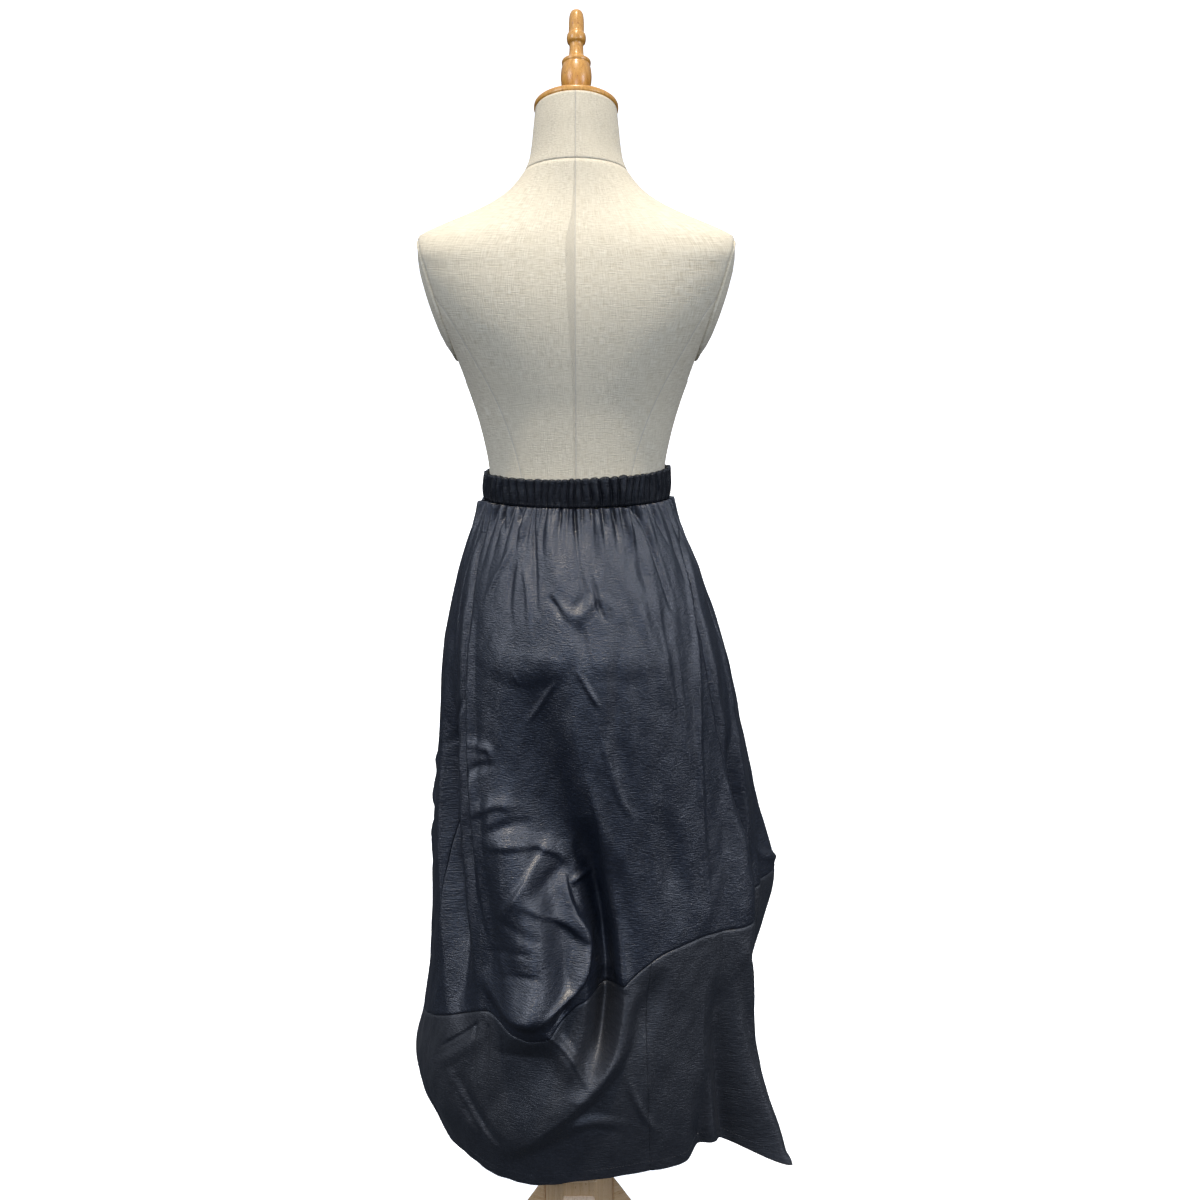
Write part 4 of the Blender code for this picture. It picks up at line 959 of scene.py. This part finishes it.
band_angles = np.arange(0, 360, BAND_STEP)
share = np.linspace(0, 1, BAND_ROWS)[:, None]
band_drops = (BAND_TOP + BAND_TOP_TILT * np.sin(np.radians(band_angles)))[None, :] * (1 - share)
band_drops = band_drops + band_foot(band_angles)[None, :] * share
grid_angles = np.broadcast_to(band_angles, band_drops.shape)
wander = PLEAT_WANDER * np.sin(np.radians(grid_angles * 7)) * np.sin(share * 5.0 + 1.0)
puff, _ = puff_height(grid_angles, wander)
# The casing is drawn in along its two edges, and swells over the elastic between them
swell = SWELL_AT_EDGES + SWELL_BETWEEN * np.sin(np.pi * share) ** 0.7
ruffle = np.where(share < RUFFLE_SHARE, 1 - share / RUFFLE_SHARE, 0.0)
half, back, front = read_rows(TORSO_SECTIONS, band_drops, "drop", "half", "back", "front")
x, y, out, on = around(grid_angles, half, half, back, front)
away = BAND_CLEAR + swell * puff + RUFFLE_OUT * ruffle
raised = RUFFLE_UP * ruffle * (puff / RUFFLE_PUFF)
base = np.stack([AXIS_X + x, AXIS_Y + y, WAIST_Z + band_drops + raised], -1)
band_outer = base + (away + BAND_THICK)[..., None] * out
band_inner = base + np.minimum(away, BAND_CLEAR + 0.5 * puff)[..., None] * out
waistband = wall(
    "waistband_casing", band_outer, band_inner, True, band_satin_painted_shade, "waistband",
    grid_angles * ARC_PER_DEGREE, band_drops,
)


# PANELS. The skirt is sewn from a back and a front panel, gathered into the waistband, and a hem band in
# three pieces below them. Each edge turns in where it meets its neighbour, so the seams read as fine grooves.
Line = namedtuple("Line", "angle drop")
BAND_SEAM = (
    Line(-90, -0.690), Line(-70, -0.676), Line(-48, -0.650), Line(-34, -0.634), Line(-22, -0.648),
    Line(-11, -0.650), Line(0, -0.612), Line(12, -0.596), Line(24, -0.560), Line(38, -0.545),
    Line(62, -0.542), Line(85, -0.528), Line(106, -0.522), Line(140, -0.560), Line(180, -0.610),
    Line(225, -0.660),
)
HEM = (
    Line(-90, -0.852), Line(-54, -0.848), Line(-38, -0.860), Line(-18, -0.862), Line(0, -0.852),
    Line(20, -0.844), Line(34, -0.842), Line(44, -0.826), Line(56, -0.838), Line(67, -0.866),
    Line(80, -0.850), Line(110, -0.838), Line(150, -0.846), Line(200, -0.856), Line(240, -0.848),
)
LEFT_SEAM = -67.5
RIGHT_SEAM = 78.75
BACK_BAND_SEAM = 22.5
SIDE_GAP = 0.004
CLOTH_THICK = 0.0016
SEAM_TURN_IN = 0.0013
SIDE_TURN_IN = 0.0008
SEAM_REACH = 0.0036
TUCK_DEPTH = 0.0008
TUCK_REACH = 0.006
GATHER_SHARE = 2.4
GATHER_LEVEL = 0.0016
GATHER_RUN = 1.8
GATHER_LEAST_RUN = 0.004
RUMPLE_FROM = 0.03
RUMPLE_SEED = 11
SKIRT_RADIUS = 0.178
SIDE_EDGE_STEPS = (0.25, 0.55, 1.0, 1.6)
LEVEL_EDGE_STEPS = np.array([0.0007, 0.0015, 0.0026, 0.0042])


def level_at(lines, angle):
    """The drop of a line that runs all the way round, at each angle."""
    angles = np.array([line.angle for line in lines], float)
    drops = np.array([line.drop for line in lines], float)
    angles = np.concatenate([angles[-3:] - 360, angles, angles[:3] + 360])
    drops = np.concatenate([drops[-3:], drops, drops[:3]])
    return smooth_through((np.asarray(angle, float) + 90.0) % 360.0 - 90.0, angles, drops)


def rumple(angle, drop):
    """Slight unevenness of the hanging cloth, from a few crossing waves."""
    chance = np.random.default_rng(RUMPLE_SEED)
    lift = np.zeros(drop.shape)
    for _ in range(RUMPLE_WAVES):
        length = chance.uniform(0.020, 0.060)
        turns = round(2 * math.pi * SKIRT_RADIUS / length * chance.uniform(0.4, 1.0))
        lift += np.sin(np.radians(angle) * turns + drop / length * 2 * math.pi * chance.uniform(-0.6, 0.6)
                       + chance.uniform(0, 6.3))
    return RUMPLE_LIFT * lift / math.sqrt(RUMPLE_WAVES / 2)


def cloth_point(angle, drop):
    """The skirt's outer face at an angle and a drop."""
    left, right, back, front = read_rows(SKIRT_SECTIONS, drop, "drop", "left", "right", "back", "front")
    x, y, out, on = around(angle, right, left, back, front)
    below = band_foot(angle) - drop
    puff, width = puff_height(angle)
    lift = GATHER_SHARE * (puff - GATHER_LEVEL) * np.exp(-below / (GATHER_RUN * width + GATHER_LEAST_RUN))
    lift = lift - TUCK_DEPTH * np.clip(1 - below / TUCK_REACH, 0, 1) ** 2
    lift = lift + rumple(angle, drop) * np.clip(below / RUMPLE_FROM, 0, 1)
    aside = np.zeros(drop.shape)
    for crease in ALL_CREASES:
        rise = crease_lift(crease, angle, drop)
        lift = lift + rise
        aside = aside + crease.lean * rise
    base = np.stack([AXIS_X + x, AXIS_Y + y, WAIST_Z + drop], -1)
    return base + lift[..., None] * out + aside[..., None] * on


def edged_steps(first, last, step, edge_steps):
    """Places from first to last, with finer steps beside both ends where the seams turn in."""
    inner = np.linspace(first + edge_steps[-1], last - edge_steps[-1], max(2, round((last - first) / step)))
    starts = first + np.array((0.0, *edge_steps[:-1]))
    return np.concatenate([starts, inner, (last - np.array((0.0, *edge_steps[:-1])))[::-1]])


def panel(name, node, first, last, top, foot, angle_step, row_step, finish, finer=None):
    """One panel of the skirt between two angles and two levels, as a thin wall."""
    angles = edged_steps(first, last, angle_step, SIDE_EDGE_STEPS)
    if finer:
        dense = np.arange(finer[0], finer[1], finer[2])
        angles = np.concatenate([angles[angles < finer[0]], dense, angles[angles >= finer[1]]])
    high, low = top(angles), foot(angles)
    height = float(np.mean(high - low))
    shares = edged_steps(0.0, 1.0, row_step / height, LEVEL_EDGE_STEPS / height)[:, None]
    drops = high[None, :] * (1 - shares) + low[None, :] * shares
    grid = np.broadcast_to(angles, drops.shape)
    outer = cloth_point(grid, drops)
    along, down = np.gradient(outer, axis=1), np.gradient(outer, axis=0)
    normal = np.cross(down, along)
    normal /= np.linalg.norm(normal, axis=-1, keepdims=True)
    # How far each point lies from the nearest sewn edge; the hem is the one edge that is not sewn
    side_edge = np.minimum(grid - first, last - grid) * ARC_PER_DEGREE
    level_edge = np.full(drops.shape, 1.0)
    if top is not skirt_top:
        level_edge = high[None, :] - drops
    if foot is not hem:
        level_edge = np.minimum(level_edge, drops - low[None, :])
    turn_in = SIDE_TURN_IN * np.clip(1 - side_edge / SEAM_REACH, 0, 1) ** 2
    turn_in = np.maximum(turn_in, SEAM_TURN_IN * np.clip(1 - level_edge / SEAM_REACH, 0, 1) ** 2)
    outer = outer - turn_in[..., None] * normal
    inner = outer - CLOTH_THICK * normal
    inner[0, :, 2], inner[-1, :, 2] = outer[0, :, 2], outer[-1, :, 2]
    return wall(name, outer, inner, False, finish, node, grid * ARC_PER_DEGREE, drops)


def skirt_top(angle):
    return band_foot(angle) - SEAM_GAP


def band_seam_upper(angle):
    return level_at(BAND_SEAM, angle)


def band_seam_lower(angle):
    return level_at(BAND_SEAM, angle) - SEAM_GAP


def hem(angle):
    return level_at(HEM, angle)


back_cloth = panel(
    "back_cloth", "back_panel", LEFT_SEAM + SIDE_GAP, RIGHT_SEAM - SIDE_GAP, skirt_top, band_seam_upper,
    angle_step=0.95, row_step=0.0030, finish=glossy_satin, finer=(-56, 20, 0.62),
)
front_cloth = panel(
    "front_cloth", "front_panel", RIGHT_SEAM + SIDE_GAP, LEFT_SEAM + 360 - SIDE_GAP, skirt_top,
    band_seam_upper, angle_step=1.05, row_step=0.0032, finish=glossy_satin,
)
hem_left = panel(
    "hem_cloth_back_left", "hem_band_back_left", LEFT_SEAM + SIDE_GAP, BACK_BAND_SEAM - SIDE_GAP,
    band_seam_lower, hem, angle_step=0.6, row_step=0.0024, finish=dull_satin,
)
hem_right = panel(
    "hem_cloth_back_right", "hem_band_back_right", BACK_BAND_SEAM + SIDE_GAP, RIGHT_SEAM - SIDE_GAP,
    band_seam_lower, hem, angle_step=0.6, row_step=0.0024, finish=dull_satin,
)
hem_front = panel(
    "hem_cloth_front", "hem_band_front", RIGHT_SEAM + SIDE_GAP, LEFT_SEAM + 360 - SIDE_GAP,
    band_seam_lower, hem, angle_step=0.9, row_step=0.0026, finish=dull_satin,
)


# STITCHES. Black polyester thread, a little glossy. One row holds the casing's lower edge and one row the
# turned-up hem. Each stitch shows as a fine bead, a little thicker than real so that it can be seen.
STITCH_LENGTH = 0.0026
STITCH_SPACING = 0.0038
THREAD_THICK = 0.0007
HEM_TURNED_UP = 0.014
CASING_ROW = -3

thread, _, thread_shader = new_material("polyester_thread")
thread_shader.inputs["Base Color"].default_value = colour("#1A1D23")
thread_shader.inputs["Roughness"].default_value = 0.5


def stitch_tree():
    """Geometry Nodes that lay one small bead at each step along a line of points."""
    tree = bpy.data.node_groups.new("stitches along a seam", "GeometryNodeTree")
    tree.interface.new_socket("Seam line", in_out="INPUT", socket_type="NodeSocketGeometry")
    for name in ("Spacing", "Length", "Thickness"):
        tree.interface.new_socket(name, in_out="INPUT", socket_type="NodeSocketFloat")
    tree.interface.new_socket("Stitches", in_out="OUTPUT", socket_type="NodeSocketGeometry")
    given = add_node(tree, "NodeGroupInput", {}).outputs
    curve = add_node(tree, "GeometryNodeMeshToCurve", {"Mesh": given["Seam line"]}).outputs[0]
    places = add_node(
        tree, "GeometryNodeCurveToPoints", {"Curve": curve, "Length": given["Spacing"]}, mode="LENGTH"
    )
    bead = add_node(tree, "GeometryNodeMeshIcoSphere", {"Radius": 0.5, "Subdivisions": 2}).outputs["Mesh"]
    size = add_node(
        tree, "ShaderNodeCombineXYZ", {"X": given["Thickness"], "Y": given["Thickness"], "Z": given["Length"]}
    ).outputs[0]
    laid = add_node(
        tree, "GeometryNodeInstanceOnPoints",
        {
            "Points": places.outputs["Points"], "Instance": bead,
            "Rotation": places.outputs["Rotation"], "Scale": size,
        },
    ).outputs[0]
    solid = add_node(tree, "GeometryNodeRealizeInstances", {"Geometry": laid}).outputs[0]
    finished = add_node(tree, "GeometryNodeSetMaterial", {"Geometry": solid, "Material": thread}).outputs[0]
    add_node(tree, "NodeGroupOutput", {"Stitches": finished})
    return tree


seam_stitches = stitch_tree()


def stitch_row(name, line):
    """A closed row of stitches along a line of points on the cloth."""
    mesh = bpy.data.meshes.new(name)
    count = len(line)
    mesh.from_pydata(line.tolist(), [(k, (k + 1) % count) for k in range(count)], [])
    mesh.materials.append(thread)
    row = bpy.data.objects.new(name, mesh)
    bpy.context.scene.collection.objects.link(row)
    sewn = row.modifiers.new("stitches", "NODES")
    sewn.node_group = seam_stitches
    sizes = {"Spacing": STITCH_SPACING, "Length": STITCH_LENGTH, "Thickness": THREAD_THICK}
    for item in seam_stitches.interface.items_tree:
        if item.name in sizes:
            sewn[item.identifier] = sizes[item.name]
    settle(row)
    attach(row, "root")
    return row


stitch_row("casing_stitches", band_outer[CASING_ROW])
hem_angles = np.arange(0, 360, 1.0)
stitch_row("hem_stitches", cloth_point(hem_angles[None, :], hem(hem_angles)[None, :] + HEM_TURNED_UP)[0])


# STUDIO. A round sweep of pale matt paper under and all round the form. A wide canopy overhead, a small key
# almost straight above, two wide fills low at the sides and a soft box in front light it. The camera stands
# 2 m from the form, a little above its waist.
SWEEP_FLAT = 3.4
SWEEP_BEND = 1.4
SWEEP_HIGH = 4.5
SWEEP_COLUMNS = 96

paper, _, paper_shader = new_material("pale_paper")
paper_shader.inputs["Roughness"].default_value = 0.9
paper_shader.inputs["Base Color"].default_value = colour("#F8F8F7")
paper_shader.inputs["Emission Color"].default_value = colour("#FFFFFF")
paper_shader.inputs["Emission Strength"].default_value = 0.6
sweep_line = [(0.02, 0.0), (SWEEP_FLAT, 0.0)]
for step in range(1, 25):
    bend = math.pi / 2 * step / 24
    sweep_line.append((SWEEP_FLAT + SWEEP_BEND * math.sin(bend), SWEEP_BEND * (1 - math.cos(bend))))
sweep_line.append((SWEEP_FLAT + SWEEP_BEND, SWEEP_HIGH))
sweep_turns = [2 * math.pi * c / SWEEP_COLUMNS for c in range(SWEEP_COLUMNS)]
sweep_points = [(r * math.cos(t), r * math.sin(t), z) for r, z in sweep_line for t in sweep_turns]
sweep_faces = [tuple(reversed(face)) for face in ring_faces(len(sweep_line), SWEEP_COLUMNS)[:-1]]
sweep = make_object("sweep", sweep_points, sweep_faces, paper)
# The cloth and the varnish mirror the dim room, not the bright paper
sweep.visible_glossy = False
sweep.visible_diffuse = False
sweep.visible_shadow = False

world = bpy.data.worlds.new("studio")
world.use_nodes = True
# One wide canopy of light overhead, which ends above eye level so that the room in front and below stays dim
CANOPY_FROM = 0.06
CANOPY_FULL = 0.60
CANOPY_GLOW = 0.95
ROOM_GLOW = 0.07
sky = world.node_tree
sky_place = add_node(sky, "ShaderNodeTexCoord", {}).outputs["Generated"]
sky_height = add_node(sky, "ShaderNodeSeparateXYZ", {"Vector": sky_place}).outputs["Z"]
canopy = add_node(
    sky, "ShaderNodeMapRange",
    {
        "Value": sky_height, "From Min": CANOPY_FROM, "From Max": CANOPY_FULL,
        "To Min": ROOM_GLOW, "To Max": CANOPY_GLOW,
    },
    interpolation_type="SMOOTHSTEP",
).outputs[0]
sky.nodes["Background"].inputs["Color"].default_value = colour("#DAE5F8")
sky.links.new(canopy, sky.nodes["Background"].inputs["Strength"])
bpy.context.scene.world = world


def far_light(name, azimuth, elevation, softness, strength, tint):
    """A large lamp so far away that it lights the form evenly. Azimuth grows to the left of the camera."""
    lamp = bpy.data.lights.new(name, "SUN")
    lamp.angle = math.radians(softness)
    lamp.energy = strength
    lamp.color = colour(tint)[:3]
    obj = bpy.data.objects.new(name, lamp)
    obj.rotation_euler = (math.radians(90 - elevation), 0, -math.radians(azimuth))
    bpy.context.scene.collection.objects.link(obj)


def soft_box(name, place, aim, size, power, tint):
    lamp = bpy.data.lights.new(name, "AREA")
    lamp.size = size
    lamp.energy = power
    lamp.color = colour(tint)[:3]
    obj = bpy.data.objects.new(name, lamp)
    obj.location = place
    obj.rotation_euler = (Vector(aim) - Vector(place)).to_track_quat("-Z", "Y").to_euler()
    bpy.context.scene.collection.objects.link(obj)


far_light("key", azimuth=0, elevation=76, softness=3, strength=2.3, tint="#FFF1DE")
far_light("left fill", azimuth=58, elevation=32, softness=24, strength=0.92, tint="#E6EDFF")
far_light("right fill", azimuth=-60, elevation=24, softness=20, strength=0.92, tint="#E6EDFF")
soft_box("front box", place=(0.05, -2.75, 2.30), aim=(0, 0, 0.95), size=0.9, power=20, tint="#C4D8FF")
bpy.context.scene.view_settings.view_transform = "Standard"

# The focal length, and how far the horizon lies above the middle of the frame, are in pixels of the frame
CAMERA_BACK = 2.0
CAMERA_ASIDE = 0.028
CAMERA_RISE = 0.29
CAMERA_FOCAL = 1652.6
HORIZON_RISE = 363
FRAME_SIDE = 1200
SENSOR = 36.0
camera_data = bpy.data.cameras.new("camera")
camera_data.sensor_width = SENSOR
camera_data.lens = CAMERA_FOCAL / FRAME_SIDE * SENSOR
camera = bpy.data.objects.new("camera", camera_data)
camera.location = (AXIS_X + CAMERA_ASIDE, AXIS_Y - CAMERA_BACK, WAIST_Z + CAMERA_RISE)
camera.rotation_euler = (math.pi / 2 - math.atan(HORIZON_RISE / CAMERA_FOCAL), 0, 0)
bpy.context.scene.collection.objects.link(camera)
bpy.context.scene.camera = camera
